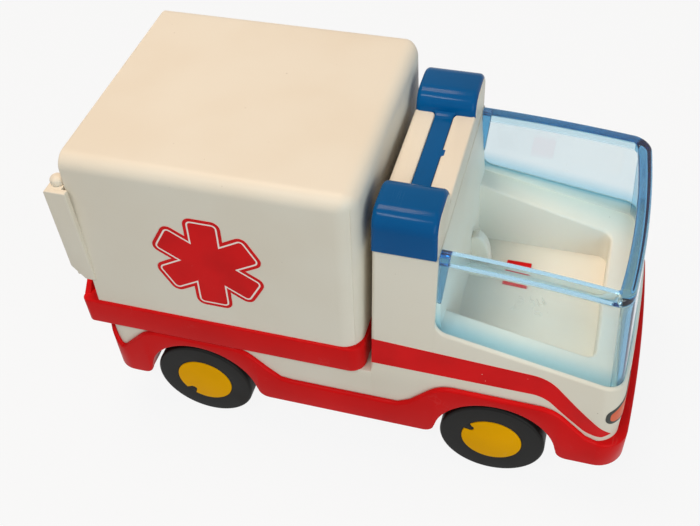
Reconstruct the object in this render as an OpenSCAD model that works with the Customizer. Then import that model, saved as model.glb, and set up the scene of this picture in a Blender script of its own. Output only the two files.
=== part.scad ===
// Toy ambulance: red chassis on two wheelsets, white body with an open cab, clear blue windscreen, blue light
// bar, and a white box with two hinged rear doors on a red tray.
// Frame: X forward, Y to the vehicle's left, Z up, origin on the floor under the middle of the length.

/* [Overall] */
// Length over the bumper and the tray
length = 221.6; // [200:0.2:250]
// Width over the skirt
width = 110.6; // [100:0.2:124]

/* [Wheels] */
// Tyre diameter
tyre_d = 42; // [36:0.5:48]
// Tyre width
tyre_w = 15; // [12:0.5:17]
// Rounding of the tyre's shoulders
tyre_round = 3; // [2:0.5:6]
// Hub diameter
hub_d = 24; // [18:0.5:28]
// Hub face beyond the tyre's side
hub_proud = 0.3; // [0:0.1:1]
// Hub faces behind the skirt's outside
hub_inset = 1.1; // [0.6:0.1:2]
// Radius of the notch in a hub's edge
notch_r = 1.5; // [1:0.1:2]
// How far the notch breaks through the hub's edge
notch_break = 0.2; // [0.1:0.1:1]
// Depth of the notch in a hub's edge
notch_depth = 1.4; // [0.6:0.1:3]
// Step at a hub's inner end
hub_step = 1; // [0.5:0.1:2]
// Axle diameter
axle_d = 4; // [3:0.1:5]
// Hub left over each end of its axle
axle_cover = 3; // [2:0.1:5]
// Radial running clearance of the axle in its bearings
axle_clear = 0.05; // [0.02:0.01:0.1]
// Side play of a wheel beside its bearing
wheel_play = 1; // [0.4:0.1:1.6]
// Front axle behind the bumper
front_reach = 52.3; // [46:0.1:60]
// Rear axle in front of the tray's rear
rear_reach = 46.3; // [42:0.1:56]

/* [Chassis] */
// Skirt's rear in front of the tray's rear
skirt_setback = 4.8; // [2:0.1:8]
// Thickness of the skirt and width of its ledge
skirt_t = 1.9; // [1.6:0.1:2.6]
// Lower edge of the skirt below the axles
skirt_drop = 1; // [0:0.1:3]
// Ledge above the axles between the wheels
ledge_rise = 13.5; // [10:0.5:17]
// Gap between a tyre and its wheel arch
arch_gap = 4.2; // [3:0.1:6]
// Skirt above a wheel arch
arch_cover = 3.1; // [2:0.1:5]
// Rounding of the skirt's lower corners beside a wheel arch
foot_round = 4.4; // [2:0.1:6]
// Length of the raised ledge over a wheel
bump_top_l = 42; // [36:1:48]
// Length of one slope of the ledge
bump_slope_l = 15; // [10:1:20]
// Rounding of the ledge where it changes slope
ledge_soft = 5; // [2:0.5:6.5]
// How far the bumper's ends fall back behind its middle
front_bow = 2.4; // [0:0.2:4]
// Plan radius of the skirt's rear corners
skirt_rear_r = 9; // [5:0.5:12]
// Base plate above the axles
base_rise = 3.5; // [3:0.1:5]
// Thickness of the base plate
base_t = 2.5; // [1.6:0.1:3]
// Length of an axle bearing along the axle
bearing_l = 5; // [3:0.5:6]
// Wall round an axle bearing
bearing_wall = 2.6; // [2:0.1:3]

/* [Body and cab] */
// Deck above the skirt's highest ledge
deck_gap = 0.8; // [0.2:0.1:4]
// Wall of the body
wall_t = 2.4; // [1.8:0.1:3]
// Length of the cab
cab_l = 99.3; // [90:0.1:110]
// Gap between the cab and the tray
cab_gap = 2.6; // [1:0.1:5]
// Cab's rear wall above the deck
cab_h = 69.5; // [60:0.1:80]
// Thickness of the rear wall at its top
rear_wall_l = 23.4; // [20:0.2:26]
// Forward lean of the rear wall's front face towards its foot, per unit height
rear_wall_lean = 0.065; // [0:0.005:0.1]
// Inward lean of the cab's sides, per unit height
side_lean = 0.152; // [0.12:0.002:0.16]
// Backward lean of the cab's front, per unit height
front_lean = 0.128; // [0.08:0.002:0.16]
// Plan radius of the cab's front corners
cab_r = 8; // [6:0.5:10]
// Plan radius of the cab's rear corners
cab_rear_r = 1; // [0.5:0.1:2]
// Cab floor below the deck
floor_drop = 3.9; // [2:0.1:5]
// Body side to the side of the cab's well, at the floor
well_margin = 21.4; // [16:0.1:26]
// Outward draft of the well's sides, per unit height
well_draft = 0.098; // [0:0.002:0.1]
// Body front to the front of the cab's well
nose_l = 17.1; // [12:0.1:22]
// Plan radius of the well's rear corners
well_r = 2; // [1:0.1:4]
// Plan radius of the well's front corners
well_front_r = 4; // [2:0.1:8]
// Diameter of the seat humps
hump_d = 10.4; // [8:0.2:12]
// Height of the seat humps above the cab floor
hump_h = 14; // [8:0.5:18]
// Distance of a seat hump from the side of the well
hump_inset = 13; // [8:0.5:20]
// Length of a snap clip
clip_l = 10.4; // [8:0.2:12]
// Width of a snap clip's post
clip_w = 8; // [6:0.2:9]
// Overhang of a snap clip's head
clip_hook = 2.2; // [1:0.1:3]
// Thickness of a snap clip's head
clip_h = 1.4; // [1:0.1:3]
// Middle of the snap clips in front of the rear wall's foot
clip_reach = 18.4; // [16:0.2:30]
// Inner edge of a snap clip from the middle
clip_y = 10.3; // [8:0.1:14]

/* [Windscreen] */
// Thickness of the glass
glass_t = 3; // [2:0.1:3.4]
// White lip outside the glass
lip_t = 1.2; // [1:0.1:1.8]
// Play of the glass in its pocket, and of the clips in their holes
glass_play = 0.1; // [0.05:0.01:0.2]
// Height of the white lip above the shelf
lip_h = 4.6; // [3:0.1:6]
// Lip above the deck at the windscreen's rear end
lip_rise = 28; // [22:0.1:34]
// Fall of the lip towards the front, per unit length
lip_fall = 0.19; // [0.1:0.01:0.24]
// Rim above the lip at the windscreen's rear end
rim_rise = 31.7; // [25:0.1:36]
// Fall of the rim towards the front, per unit length
rim_fall = 0.087; // [0:0.001:0.12]
// Width of the rim
rim_w = 5; // [4:0.1:6]
// Depth of the rim
rim_h = 4.5; // [3:0.1:7]
// Gap between the light bar's end blocks and the glass
glass_gap = 0.5; // [0.2:0.1:2]
// Width of a wedge clip at the rim
wedge_w = 3.8; // [3:0.1:4.4]
// Length of a wedge clip
wedge_h = 22; // [14:0.5:26]
// Depth of a wedge clip behind the glass
wedge_d = 2.4; // [1.5:0.1:3]

/* [Light bar] */
// Length of a block across the vehicle
block_w = 22.8; // [18:0.1:28]
// Inner end of a block to the shoulder of the rear wall under it
block_foot = 7.5; // [4:0.1:12]
// Lower edge of the blocks below the rear wall's top
block_drop = 10.2; // [6:0.1:14]
// Top of the blocks above the rear wall's top
block_rise = 7.8; // [5:0.1:10]
// Rounding of the blocks across the vehicle
block_round = 7.5; // [4:0.1:9]
// Rounding of the blocks along the vehicle
block_edge = 4; // [2:0.1:6]
// Blocks beyond the cab's sides
block_proud = 0.9; // [0:0.1:2]
// Width of the strip between the blocks
strip_w = 7; // [5:0.1:9]
// Depth of the strip's groove
strip_t = 1.4; // [1:0.1:2]
// Strip in front of the rear wall's rear face
strip_x = 8.2; // [5:0.1:11]
// Length of the strip's small latch
latch_l = 4; // [2:0.1:6]
// Width of the strip's small latch
latch_w = 1.5; // [1:0.1:2.5]

/* [Tray] */
// Tray's sides behind the skirt's outside
tray_inset = 0.1; // [0:0.05:1]
// Height of the tray
tray_h = 13.3; // [10:0.1:16]
// Thickness of the tray
tray_t = 2.5; // [1.8:0.1:3]
// Plan radius of the tray's front corners
tray_r = 6; // [3:0.5:10]
// Plan radius of the tray's rear corners
tray_rear_r = 1.5; // [0.5:0.1:3]
// Height of the rear sill above the tray
sill_h = 4.9; // [3:0.1:6]
// Thickness of the rear sill
sill_t = 2.6; // [1.8:0.1:2.8]
// Rear sill's foot to the tray's side
sill_end = 2.2; // [1:0.1:6]
// Length of each sloped end of the rear sill
sill_slope = 6; // [3:0.5:7]
// Height of the two ribs that locate the box
rib_h = 3; // [2:0.5:5]
// Thickness of the two ribs that locate the box
rib_t = 1.8; // [1.2:0.1:3]
// Play between these ribs and the box
rib_play = 0.1; // [0.05:0.05:0.4]
// Ribs that carry the tray on the deck, from the body's side
keel_inset = 13.4; // [8:0.1:24]
// Thickness of the ribs that carry the tray on the deck
keel_t = 2; // [1.4:0.1:3]

/* [Box] */
// Box's rear in front of the tray's rear
box_setback = 7.2; // [6:0.1:10]
// Tray in front of the box
box_front_gap = 0.9; // [0.2:0.1:4]
// Tray beyond the box at each side
box_ledge = 1.1; // [0.4:0.1:3]
// Height of the box
box_h = 71.6; // [62:0.1:82]
// Inward draft of the box's sides, per unit height
box_draft = 0.06; // [0.04:0.002:0.07]
// Wall of the box
box_t = 2.2; // [1.6:0.1:2.6]
// Rounding of the roof's edges
roof_r = 6; // [4:0.5:8]
// Plan radius of the box's front corners
box_r = 8; // [7:0.5:10]
// Plan radius of the box's rear corners
box_rear_r = 0.6; // [0.3:0.1:2]
// Wall beside the rear opening
jamb_w = 11.1; // [10:0.1:20]
// Wall between the rear opening and the roof
lintel_h = 19.6; // [16:0.1:28]

/* [Doors and hinges] */
// Thickness of a door
door_t = 2.6; // [1.8:0.1:2.8]
// Gap between the doors and the box
door_gap = 0.6; // [0.4:0.1:1]
// Gap between the doors at the middle, and above the sill
door_clear = 0.8; // [0.5:0.1:1.5]
// Hinge pin diameter
pin_d = 3; // [2.4:0.1:3.4]
// Radial running clearance of a door on its pin
pin_clear = 0.06; // [0.02:0.01:0.1]
// Diameter of a door's barrel and of the ear's lugs
barrel_d = 6; // [5.4:0.1:6.6]
// How far a barrel reaches over the gap between door and box
barrel_lap = 0.2; // [0.1:0.1:0.3]
// Height of a lug
lug_h = 4.2; // [3:0.1:6]
// Gap between a lug and the barrel
lug_gap = 0.4; // [0.3:0.1:0.8]
// Thickness of an ear
ear_t = 2.6; // [2:0.1:3]
// Ears beyond the foot of the box
ear_proud = 0.1; // [0:0.05:0.6]
// Gap between a barrel and the ear beside it
ear_gap = 0.4; // [0.3:0.1:0.6]
// Ears' foot above the tray
ear_rise = 12; // [9:0.1:15]
// Ears' top below the roof
ear_drop = 13.3; // [10:0.1:17]
// Length of an ear behind the box
ear_l = 6.8; // [6:0.1:7]
// Bevel at the foot of an ear
ear_bevel = 6.6; // [4:0.2:8]
// Diameter of a pin's head
pin_head_d = 5.6; // [4.6:0.1:6.6]
// Height of a pin's head
pin_head_h = 3.2; // [2:0.1:4]
// Depth of a door's grip
grip_d = 2.4; // [1.5:0.1:3]
// Width of a door's grip
grip_w = 3; // [2:0.1:5]
// Height of a door's grip
grip_h = 16; // [10:0.5:24]
// Distance of a door's grip from the middle
grip_y = 4; // [3:0.1:8]

/* [Labels] */
// Thickness of the labels
label_t = 0.3; // [0.2:0.05:0.4]
// Length of the star's arms from its middle
star_arm = 22; // [16:0.5:24]
// Width of the star's arms
star_arm_w = 14.6; // [8:0.2:17]
// Rounding of the star's corners
star_soft = 2.4; // [0.4:0.1:3]
// Star's middle behind the box's middle
star_shift = 2.4; // [0:0.1:8]
// Star's middle above the tray
star_rise = 31.6; // [28:0.1:38]
// Upper edge of the cab stripe above the deck, at its rear end
stripe_rise = 19.3; // [16:0.1:22]
// Width of the cab stripe
stripe_w = 11.4; // [8:0.2:13]
// Fall of the stripe's edges towards the front, per unit length
stripe_fall = 0.055; // [0:0.005:0.08]
// Height of the stripe's tip above the ledge
stripe_tip_h = 6.6; // [4:0.2:9]
// Width of the stripe before its tip
stripe_tip_w = 4.6; // [3:0.1:6]
// Length of the stripe's tip
stripe_tip_l = 6; // [3:0.1:8]
// Stripe's bend behind the start of the ledge's front slope
stripe_lead = 3.6; // [1:0.1:6]
// White edge behind the stripe
stripe_edge = 0.4; // [0:0.1:2]
// Middle of the indicator's round end above the deck
lamp_rise = 0.2; // [0:0.1:8]
// Radius of the indicator's round end
lamp_r = 3.6; // [2.6:0.1:4]
// Height of the indicator
lamp_h = 15; // [10:0.5:16]
// Length of the indicator round the cab's front corner
lamp_wrap = 16; // [10:0.5:24]

/* [Hidden] */
$fn = 48;
eps = 0.01;
far = 600;
corner_seg = 8;
front_seg = 8;
sides = [-1, 1];

// Ends and axles
bumper_x = length / 2;
tray_rear_x = -length / 2;
skirt_rear_x = tray_rear_x + skirt_setback;
front_axle_x = bumper_x - front_reach;
rear_axle_x = tray_rear_x + rear_reach;
axle_xs = [rear_axle_x, front_axle_x];
axle_z = tyre_d / 2;

// Wheels
hub_face = width / 2 - hub_inset;
tyre_out = hub_face - hub_proud;
tyre_in = tyre_out - tyre_w;
bearing_out = tyre_in - wheel_play;
notch_place = hub_d / 2 - notch_r + notch_break;
axle_l = 2 * (hub_face - axle_cover);

// Chassis and body
body_half = width / 2 - skirt_t;
body_rear_x = skirt_rear_x + skirt_t;
body_front_x = bumper_x - skirt_t;
bumper_r = cab_r + skirt_t;
skirt_bottom = axle_z - skirt_drop;
ledge_low = axle_z + ledge_rise;
arch_r = tyre_d / 2 + arch_gap;
ledge_high = axle_z + arch_r + arch_cover;
base_z = axle_z + base_rise;
base_top = base_z + base_t;
deck_z = ledge_high + deck_gap;

// Cab
cab_rear_x = body_front_x - cab_l;
cab_top = deck_z + cab_h;
wall_front_x = cab_rear_x + rear_wall_l;
floor_z = deck_z - floor_drop;
well_half = body_half - well_margin;
well_front_x = body_front_x - nose_l;
hump_y = well_half - hump_inset;
glass_x = wall_front_x + glass_gap;
lip_z = deck_z + lip_rise;
rim_z = lip_z + rim_rise;

// Light bar
block_z = cab_top - block_drop;
block_top = cab_top + block_rise;
block_out = body_half - side_lean * (block_z - deck_z) + block_proud;
block_in = block_out - block_w;
shoulder_y = block_in + block_foot;
strip_x0 = cab_rear_x + strip_x;
strip_x1 = strip_x0 + strip_w;

// Tray and box
tray_front_x = cab_rear_x - cab_gap;
tray_half = width / 2 - tray_inset;
tray_z = deck_z + tray_h;
keel_y = body_half - keel_inset;
box_rear_x = tray_rear_x + box_setback;
box_front_x = tray_front_x - box_front_gap;
box_foot = tray_half - box_ledge;
roof_z = tray_z + box_h;
opening_half = box_foot - jamb_w;
opening_top = roof_z - lintel_h;

// Doors
ear_y = box_foot + ear_proud;
ear_bottom = tray_z + ear_rise;
ear_top = roof_z - ear_drop;
pin_x = box_rear_x - door_gap - barrel_d / 2 + barrel_lap;
pin_y = ear_y - ear_t - barrel_d / 2 - ear_gap;
door_bottom = tray_z + sill_h + door_clear;
door_top = ear_top - door_clear;
barrel_z0 = ear_bottom + lug_h + lug_gap;
barrel_z1 = ear_top - lug_h - lug_gap;

// Labels
star_x = (box_rear_x + box_front_x) / 2 - star_shift;
star_z = tray_z + star_rise;
stripe_z = deck_z + stripe_rise;
lamp_z = deck_z + lamp_rise;

// Shapes that repeat

function arc(x, y, r, a0, a1) = [for (i = [0 : corner_seg]) let (a = a0 + (a1 - a0) * i / corner_seg)
    [x + r * cos(a), y + r * sin(a)]];

// Plan outline, anticlockwise: straight sides at half width w, corner radius r0 behind and r1 in front, and a
// front that falls back by bow at its ends
function plan(x0, x1, w, r0, r1, bow) = let (
    front = concat(arc(x1 - r1, -w + r1, r1, -90, 0),
        [for (i = [1 : front_seg - 1]) [x1, (w - r1) * (2 * i / front_seg - 1)]],
        arc(x1 - r1, w - r1, r1, 0, 90)),
    back = concat(arc(x0 + r0, w - r0, r0, 90, 180), arc(x0 + r0, -w + r0, r0, 180, 270)))
    concat([for (p = front) [p[0] - bow * pow(p[1] / w, 2), p[1]]], back);

// Outline with each corner replaced by a curve that starts at most d before it
function soft(pts, d) = let (n = len(pts)) [for (i = [0 : n - 1])
    let (v = pts[i], a = pts[(i + n - 1) % n] - v, b = pts[(i + 1) % n] - v,
        p = v + a * min(0.45, d / norm(a)), q = v + b * min(0.45, d / norm(b)))
    each [for (t = [0 : 0.2 : 1]) (1 - t) * (1 - t) * p + 2 * t * (1 - t) * v + t * t * q]];

// Solid through a stack of outlines, given as [height, outline] from the bottom up
module loft(levels) {
    n = len(levels[0][1]);
    m = len(levels);
    walls = [for (j = [0 : m - 2], i = [0 : n - 1]) let (a = j * n + i, b = j * n + (i + 1) % n)
        each [[a, a + n, b + n], [a, b + n, b]]];
    polyhedron([for (l = levels, p = l[1]) [p[0], p[1], l[0]]],
        concat([[for (i = [0 : n - 1]) i]], walls, [[for (i = [n - 1 : -1 : 0]) (m - 1) * n + i]]));
}

// Side view outline, in X and Z, carried across the vehicle from y0 to y1
module across(points, y0 = -far, y1 = far) {
    translate([0, y1, 0]) rotate([90, 0, 0]) linear_extrude(y1 - y0) polygon(points);
}

module box_between(low, high) {
    translate(low) cube(high - low);
}

// Cab

function side_at(z) = body_half - side_lean * max(0, z - deck_z);
function front_at(z) = body_front_x - front_lean * max(0, z - deck_z);
function wall_face(z) = wall_front_x + rear_wall_lean * (cab_top - z);
function lip_at(x) = lip_z - lip_fall * (x - glass_x);
function shelf_at(x) = lip_at(x) - lip_h;
function clip_x() = wall_face(floor_z) + clip_reach;
function rim_at(x) = rim_z - rim_fall * (x - glass_x);
function cab_level(z, inset) = [z, plan(cab_rear_x + inset, front_at(z) - inset, side_at(z) - inset,
    cab_rear_r, max(1, cab_r - inset), front_bow)];

// Leaning cab form, all faces moved inwards by inset
module cab_form(inset, z0 = deck_z, z1 = cab_top) {
    loft([cab_level(z0, inset), cab_level(z1, inset)]);
}

// Lower body from the base plate to the deck
module low_form(inset, z0 = base_top, z1 = deck_z) {
    translate([0, 0, z0]) linear_extrude(z1 - z0)
        polygon(plan(body_rear_x + inset, body_front_x - inset, body_half - inset,
            max(1, skirt_rear_r - skirt_t - inset), max(1, cab_r - inset), front_bow));
}

// Room above a line that falls along the vehicle from height z at x0, with a corner softened by d
module above_line(x0, z, fall, d = 0) {
    outline = [[x0, z], [x0 + far, z - fall * far], [x0 + far, far], [x0, far]];
    across(d > 0 ? soft(outline, d) : outline);
}

module in_front_of_wall(offset = 0) {
    across([[wall_face(0) + offset, 0], [far, 0], [far, far], [wall_face(far) + offset, far]]);
}

module cab_well(grow = 0, z0 = floor_z) {
    function half(z) = well_half + well_draft * (z - floor_z) + grow;
    function level(z) = [z, plan(wall_face(z) - grow, well_front_x + grow, half(z), well_r + grow,
        well_front_r + grow, 0)];
    loft([level(z0 - grow), level(cab_top + 1)]);
}

// Wheel openings outside the bearings, flared by the rounding of the skirt's lower corners
module wheel_wells() {
    f = foot_round;
    w = arch_r + f;
    for (x = axle_xs, s = sides) translate([x, s > 0 ? far : -bearing_out, axle_z]) rotate([90, 0, 0])
        linear_extrude(far - bearing_out) {
            circle(arch_r, $fn = 96);
            difference() {
                translate([-w, -skirt_drop - 1]) square([2 * w, f + 1]);
                for (m = sides) translate([m * w, f - skirt_drop]) circle(f);
                for (m = sides) translate([m * w - f, -skirt_drop - 2]) square([2 * f, 2]);
            }
            translate([-arch_r, -far]) square([2 * arch_r, far]);
        }
}

// Windscreen pocket: ring for the glass, and the room inside it over the shelf
module glass_pocket() {
    intersection() {
        difference() {
            cab_form(lip_t, deck_z, cab_top + 1);
            cab_form(lip_t + glass_t + 2 * glass_play, deck_z - 1, cab_top + 2);
        }
        above_line(glass_x - glass_play, shelf_at(glass_x), lip_fall);
    }
    intersection() {
        cab_form(lip_t, deck_z, cab_top + 1);
        above_line(glass_x, shelf_at(glass_x), lip_fall);
        in_front_of_wall();
    }
    intersection() {
        difference() {
            cab_form(-1, deck_z, cab_top + 1);
            cab_form(lip_t, deck_z - 1, cab_top + 2);
        }
        above_line(glass_x - glass_play, lip_at(glass_x), lip_fall, lip_h);
    }
}

// Hollow under the body, around the cab's well
module body_hollow() {
    low_form(wall_t, base_top - 1, deck_z - wall_t);
    intersection() {
        cab_form(wall_t, deck_z - wall_t - 1, block_z - wall_t);
        across([[cab_rear_x + wall_t, 0], [far, 0], [far, shelf_at(far) - wall_t],
            [wall_face(lip_z), shelf_at(wall_face(lip_z)) - wall_t], [wall_face(lip_z) - 2 * wall_t, far],
            [cab_rear_x + wall_t, far]]);
    }
}

// Wedge clip on the glass: a tapered rib at the windscreen's rear end, under the rim
module wedges(grow = 0) {
    z1 = rim_at(glass_x);
    z0 = z1 - wedge_h;
    for (s = sides) intersection() {
        across([[glass_x - grow, z1 + grow], [glass_x - grow, z0 - grow],
            [glass_x + wedge_w * 0.4 + grow, z0 - grow], [glass_x + wedge_w + grow, z1 + grow]],
            min(0, s * far), max(0, s * far));
        difference() {
            cab_form(lip_t + glass_t - 1, z0 - 5, z1 + 5);
            cab_form(lip_t + glass_t + wedge_d + grow, z0 - 6, z1 + 6);
        }
    }
}

// Small latch on the light bar's strip, up to height z
module latch(z) {
    box_between([strip_x1 - 1, -latch_l / 2, cab_top - strip_t], [strip_x1 + latch_w, latch_l / 2, z]);
}

module clip_holes() {
    for (s = sides) translate([clip_x(), s * (clip_y + clip_w / 2), 0])
        translate([-clip_l / 2 - glass_play, -clip_w / 2 - glass_play, floor_z - wall_t - 5])
            cube([clip_l + 2 * glass_play, clip_w + 2 * glass_play, wall_t + 10]);
}

module cab_body() {
    color("ghostwhite") {
        difference() {
            union() {
                low_form(0);
                cab_form(0, deck_z - eps);
            }
            difference() {
                body_hollow();
                cab_well(wall_t);
            }
            cab_well();
            glass_pocket();
            wedges(glass_play);
            clip_holes();
            wheel_wells();
            for (s = sides) box_between([-far, min(s * shoulder_y, s * far), block_z],
                [wall_front_x + far, max(s * shoulder_y, s * far), far]);
            box_between([strip_x0, -far, cab_top - strip_t], [strip_x1, far, far]);
            latch(cab_top + 1);
        }
        for (s = sides) translate([wall_face(floor_z), s * hump_y, floor_z]) {
            cylinder(d = hump_d, h = hump_h - hump_d / 2);
            translate([0, 0, hump_h - hump_d / 2]) sphere(d = hump_d);
        }
    }
}

// Chassis

function bump(x) = [[x - bump_top_l / 2 - bump_slope_l, ledge_low], [x - bump_top_l / 2, ledge_high],
    [x + bump_top_l / 2, ledge_high], [x + bump_top_l / 2 + bump_slope_l, ledge_low]];

module skirt_plan(inset) {
    polygon(plan(skirt_rear_x + inset, bumper_x - inset, width / 2 - inset, skirt_rear_r - inset,
        bumper_r - inset, front_bow));
}

module bearings() {
    r = axle_d / 2 + axle_clear + bearing_wall;
    for (x = axle_xs, s = sides) {
        translate([x, s * bearing_out, axle_z]) rotate([90 * s, 0, 0]) cylinder(r = r, h = bearing_l);
        box_between([x - r, min(s * bearing_out, s * (bearing_out - bearing_l)), axle_z],
            [x + r, max(s * bearing_out, s * (bearing_out - bearing_l)), base_z + 1]);
    }
}

module clips() {
    for (s = sides) translate([clip_x() - clip_l / 2, 0, 0]) {
        box_between([0, min(s * clip_y, s * (clip_y + clip_w)), base_top - 1],
            [clip_l, max(s * clip_y, s * (clip_y + clip_w)), floor_z + clip_h]);
        box_between([0, min(s * clip_y, s * (clip_y + clip_w + clip_hook)), floor_z],
            [clip_l, max(s * clip_y, s * (clip_y + clip_w + clip_hook)), floor_z + clip_h]);
    }
}

module chassis() {
    color("firebrick") {
        difference() {
            union() {
                difference() {
                    intersection() {
                        translate([0, 0, skirt_bottom]) linear_extrude(ledge_high) skirt_plan(0);
                        across(soft(concat([[-far, 0], [-far, ledge_low]], bump(rear_axle_x),
                            bump(front_axle_x), [[far, ledge_low], [far, 0]]), ledge_soft));
                    }
                    translate([0, 0, skirt_bottom - 1]) linear_extrude(far) skirt_plan(skirt_t);
                }
                translate([0, 0, base_z]) linear_extrude(base_t) skirt_plan(skirt_t - eps);
            }
            wheel_wells();
        }
        difference() {
            bearings();
            for (x = axle_xs) translate([x, 0, axle_z]) rotate([90, 0, 0])
                cylinder(r = axle_d / 2 + axle_clear, h = far, center = true);
        }
        clips();
    }
}

// Windscreen and light bar

module windscreen() {
    color([0.25, 0.55, 0.8, 0.5]) {
        outer = lip_t + glass_play;
        rim_low = rim_at(glass_x) - rim_h;
        difference() {
            intersection() {
                cab_form(outer, deck_z, cab_top);
                above_line(glass_x, shelf_at(glass_x), lip_fall);
            }
            difference() {
                cab_form(outer + glass_t, deck_z - 1, cab_top + 1);
                difference() {
                    above_line(glass_x - 1, rim_low, rim_fall);
                    cab_form(outer + rim_w, deck_z - 2, cab_top + 2);
                }
            }
            above_line(0, rim_at(0), rim_fall);
            difference() {
                cab_form(outer + glass_t, deck_z - 2, cab_top + 3);
                in_front_of_wall(glass_play);
            }
        }
        wedges();
    }
}

module block(s) {
    y0 = s > 0 ? block_in : -block_out;
    y1 = s > 0 ? block_out : -block_in;
    r = block_round;
    e = block_edge;
    x0 = cab_rear_x;
    x1 = wall_front_x;
    intersection() {
        translate([x0 - 1, 0, 0]) rotate([90, 0, 90]) linear_extrude(x1 - x0 + 2) {
            translate([y0, block_z]) square([y1 - y0, block_top - r - block_z]);
            translate([y0 + r, block_z]) square([y1 - y0 - 2 * r, block_top - block_z]);
            for (y = [y0 + r, y1 - r]) translate([y, block_top - r]) circle(r);
        }
        translate([0, far, 0]) rotate([90, 0, 0]) linear_extrude(2 * far) {
            translate([x0, block_z]) square([x1 - x0, block_top - e - block_z]);
            translate([x0 + e, block_z]) square([x1 - x0 - 2 * e, block_top - block_z]);
            for (x = [x0 + e, x1 - e]) translate([x, block_top - e]) circle(e);
        }
    }
}

module light_bar() {
    color("steelblue") {
        difference() {
            for (s = sides) block(s);
            box_between([-far, -shoulder_y, 0], [far, shoulder_y, cab_top]);
        }
        box_between([strip_x0, -shoulder_y, cab_top - strip_t], [strip_x1, shoulder_y, cab_top]);
        latch(cab_top);
    }
}

// Tray and box

module tray_plan(inset) {
    polygon(plan(tray_rear_x + inset, tray_front_x - inset, tray_half - inset, tray_rear_r,
        max(1, tray_r - inset), 0));
}

module tray() {
    rib_y = box_foot - box_t - box_draft * rib_h - rib_play;
    sill_y = tray_half - sill_end;
    color("firebrick") {
        difference() {
            translate([0, 0, deck_z]) linear_extrude(tray_h) tray_plan(0);
            translate([0, 0, deck_z - 1]) linear_extrude(tray_h - tray_t + 1) tray_plan(tray_t);
        }
        translate([tray_rear_x, 0, tray_z - eps]) rotate([90, 0, 90]) linear_extrude(sill_t)
            polygon([[-sill_y, 0], [sill_y, 0], [sill_y - sill_slope, sill_h], [sill_slope - sill_y, sill_h]]);
        for (s = sides) box_between([body_rear_x + skirt_rear_r, s * keel_y - keel_t / 2, deck_z],
            [tray_front_x - tray_r, s * keel_y + keel_t / 2, tray_z - tray_t + eps]);
        for (s = sides) box_between(
            [box_rear_x + 2 * box_t, min(s * rib_y, s * (rib_y - rib_t)), tray_z - eps],
            [box_front_x - box_r, max(s * rib_y, s * (rib_y - rib_t)), tray_z + rib_h]);
    }
}

function box_half(z) = box_foot - box_draft * (z - tray_z);
function box_level(z, inset) = [z, plan(box_rear_x + min(inset, box_t), box_front_x - inset,
    box_half(z) - inset, box_rear_r, max(1, box_r - inset), 0)];

// Drafted box form with a rounded roof, all faces moved inwards by inset
module box_form(inset, z0 = tray_z) {
    top = roof_z - inset;
    r = max(1, roof_r - inset);
    loft(concat([box_level(z0, inset)], [for (a = [0 : 15 : 90])
        box_level(top - r + r * sin(a), inset + r * (1 - cos(a)))]));
}

module ear(s) {
    y_in = ear_y - ear_t;
    difference() {
        union() {
            across([[box_rear_x - ear_l, ear_bottom + ear_bevel],
                [box_rear_x - ear_l + ear_bevel * 0.7, ear_bottom], [box_rear_x + box_t, ear_bottom],
                [box_rear_x + box_t, ear_top], [box_rear_x - ear_l, ear_top]],
                min(s * y_in, s * ear_y), max(s * y_in, s * ear_y));
            for (z = [ear_bottom, ear_top - lug_h]) translate([0, 0, z]) {
                translate([pin_x, s * pin_y, 0]) cylinder(d = barrel_d, h = lug_h);
                box_between([pin_x - barrel_d / 2, min(s * pin_y, s * (y_in + 1)), 0],
                    [box_rear_x + 1, max(s * pin_y, s * (y_in + 1)), lug_h]);
            }
        }
        translate([pin_x, s * pin_y, 0]) cylinder(d = pin_d, h = far);
    }
}

module box_shell() {
    color("ghostwhite") difference() {
        union() {
            box_form(0);
            for (s = sides) ear(s);
        }
        box_form(box_t, tray_z - 1);
        box_between([box_rear_x - far, -opening_half, tray_z - 1],
            [box_rear_x + 2 * box_t, opening_half, opening_top]);
    }
}

module hinge_pin(s) {
    color("linen") translate([pin_x, s * pin_y, 0]) {
        translate([0, 0, ear_bottom]) cylinder(d = pin_d, h = ear_top - ear_bottom);
        translate([0, 0, ear_top]) {
            cylinder(d = pin_head_d, h = pin_head_h / 2);
            translate([0, 0, pin_head_h / 2]) intersection() {
                sphere(d = pin_head_d);
                cylinder(d = pin_head_d, h = pin_head_h / 2);
            }
        }
    }
}

// Door leaf on side s, hinged at the ear, with its barrel between the lugs and a grip at its free edge
module rear_door(s) {
    x1 = box_rear_x - door_gap;
    x0 = x1 - door_t;
    edge = pin_y - barrel_d / 2 - 2 * lug_gap;
    mid = (door_bottom + door_top) / 2;
    color("ghostwhite") difference() {
        union() {
            box_between([x0, min(s * door_clear / 2, s * edge), door_bottom],
                [x1, max(s * door_clear / 2, s * edge), door_top]);
            box_between([x0, min(s * edge, s * pin_y) - eps, barrel_z0],
                [x1, max(s * edge, s * pin_y) + eps, barrel_z1]);
            translate([pin_x, s * pin_y, barrel_z0]) cylinder(d = barrel_d, h = barrel_z1 - barrel_z0);
            box_between([x0 - grip_d, min(s * grip_y, s * (grip_y + grip_w)), mid - grip_h / 2],
                [x0 + eps, max(s * grip_y, s * (grip_y + grip_w)), mid + grip_h / 2]);
        }
        translate([pin_x, s * pin_y, 0]) cylinder(r = pin_d / 2 + pin_clear, h = far);
    }
}

// Wheels

module outward(x, s) {
    translate([x, 0, axle_z]) rotate([-90 * s, 0, 0]) children();
}

module axle(x) {
    color("silver") translate([x, 0, axle_z]) rotate([90, 0, 0])
        cylinder(d = axle_d, h = axle_l, center = true);
}

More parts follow.
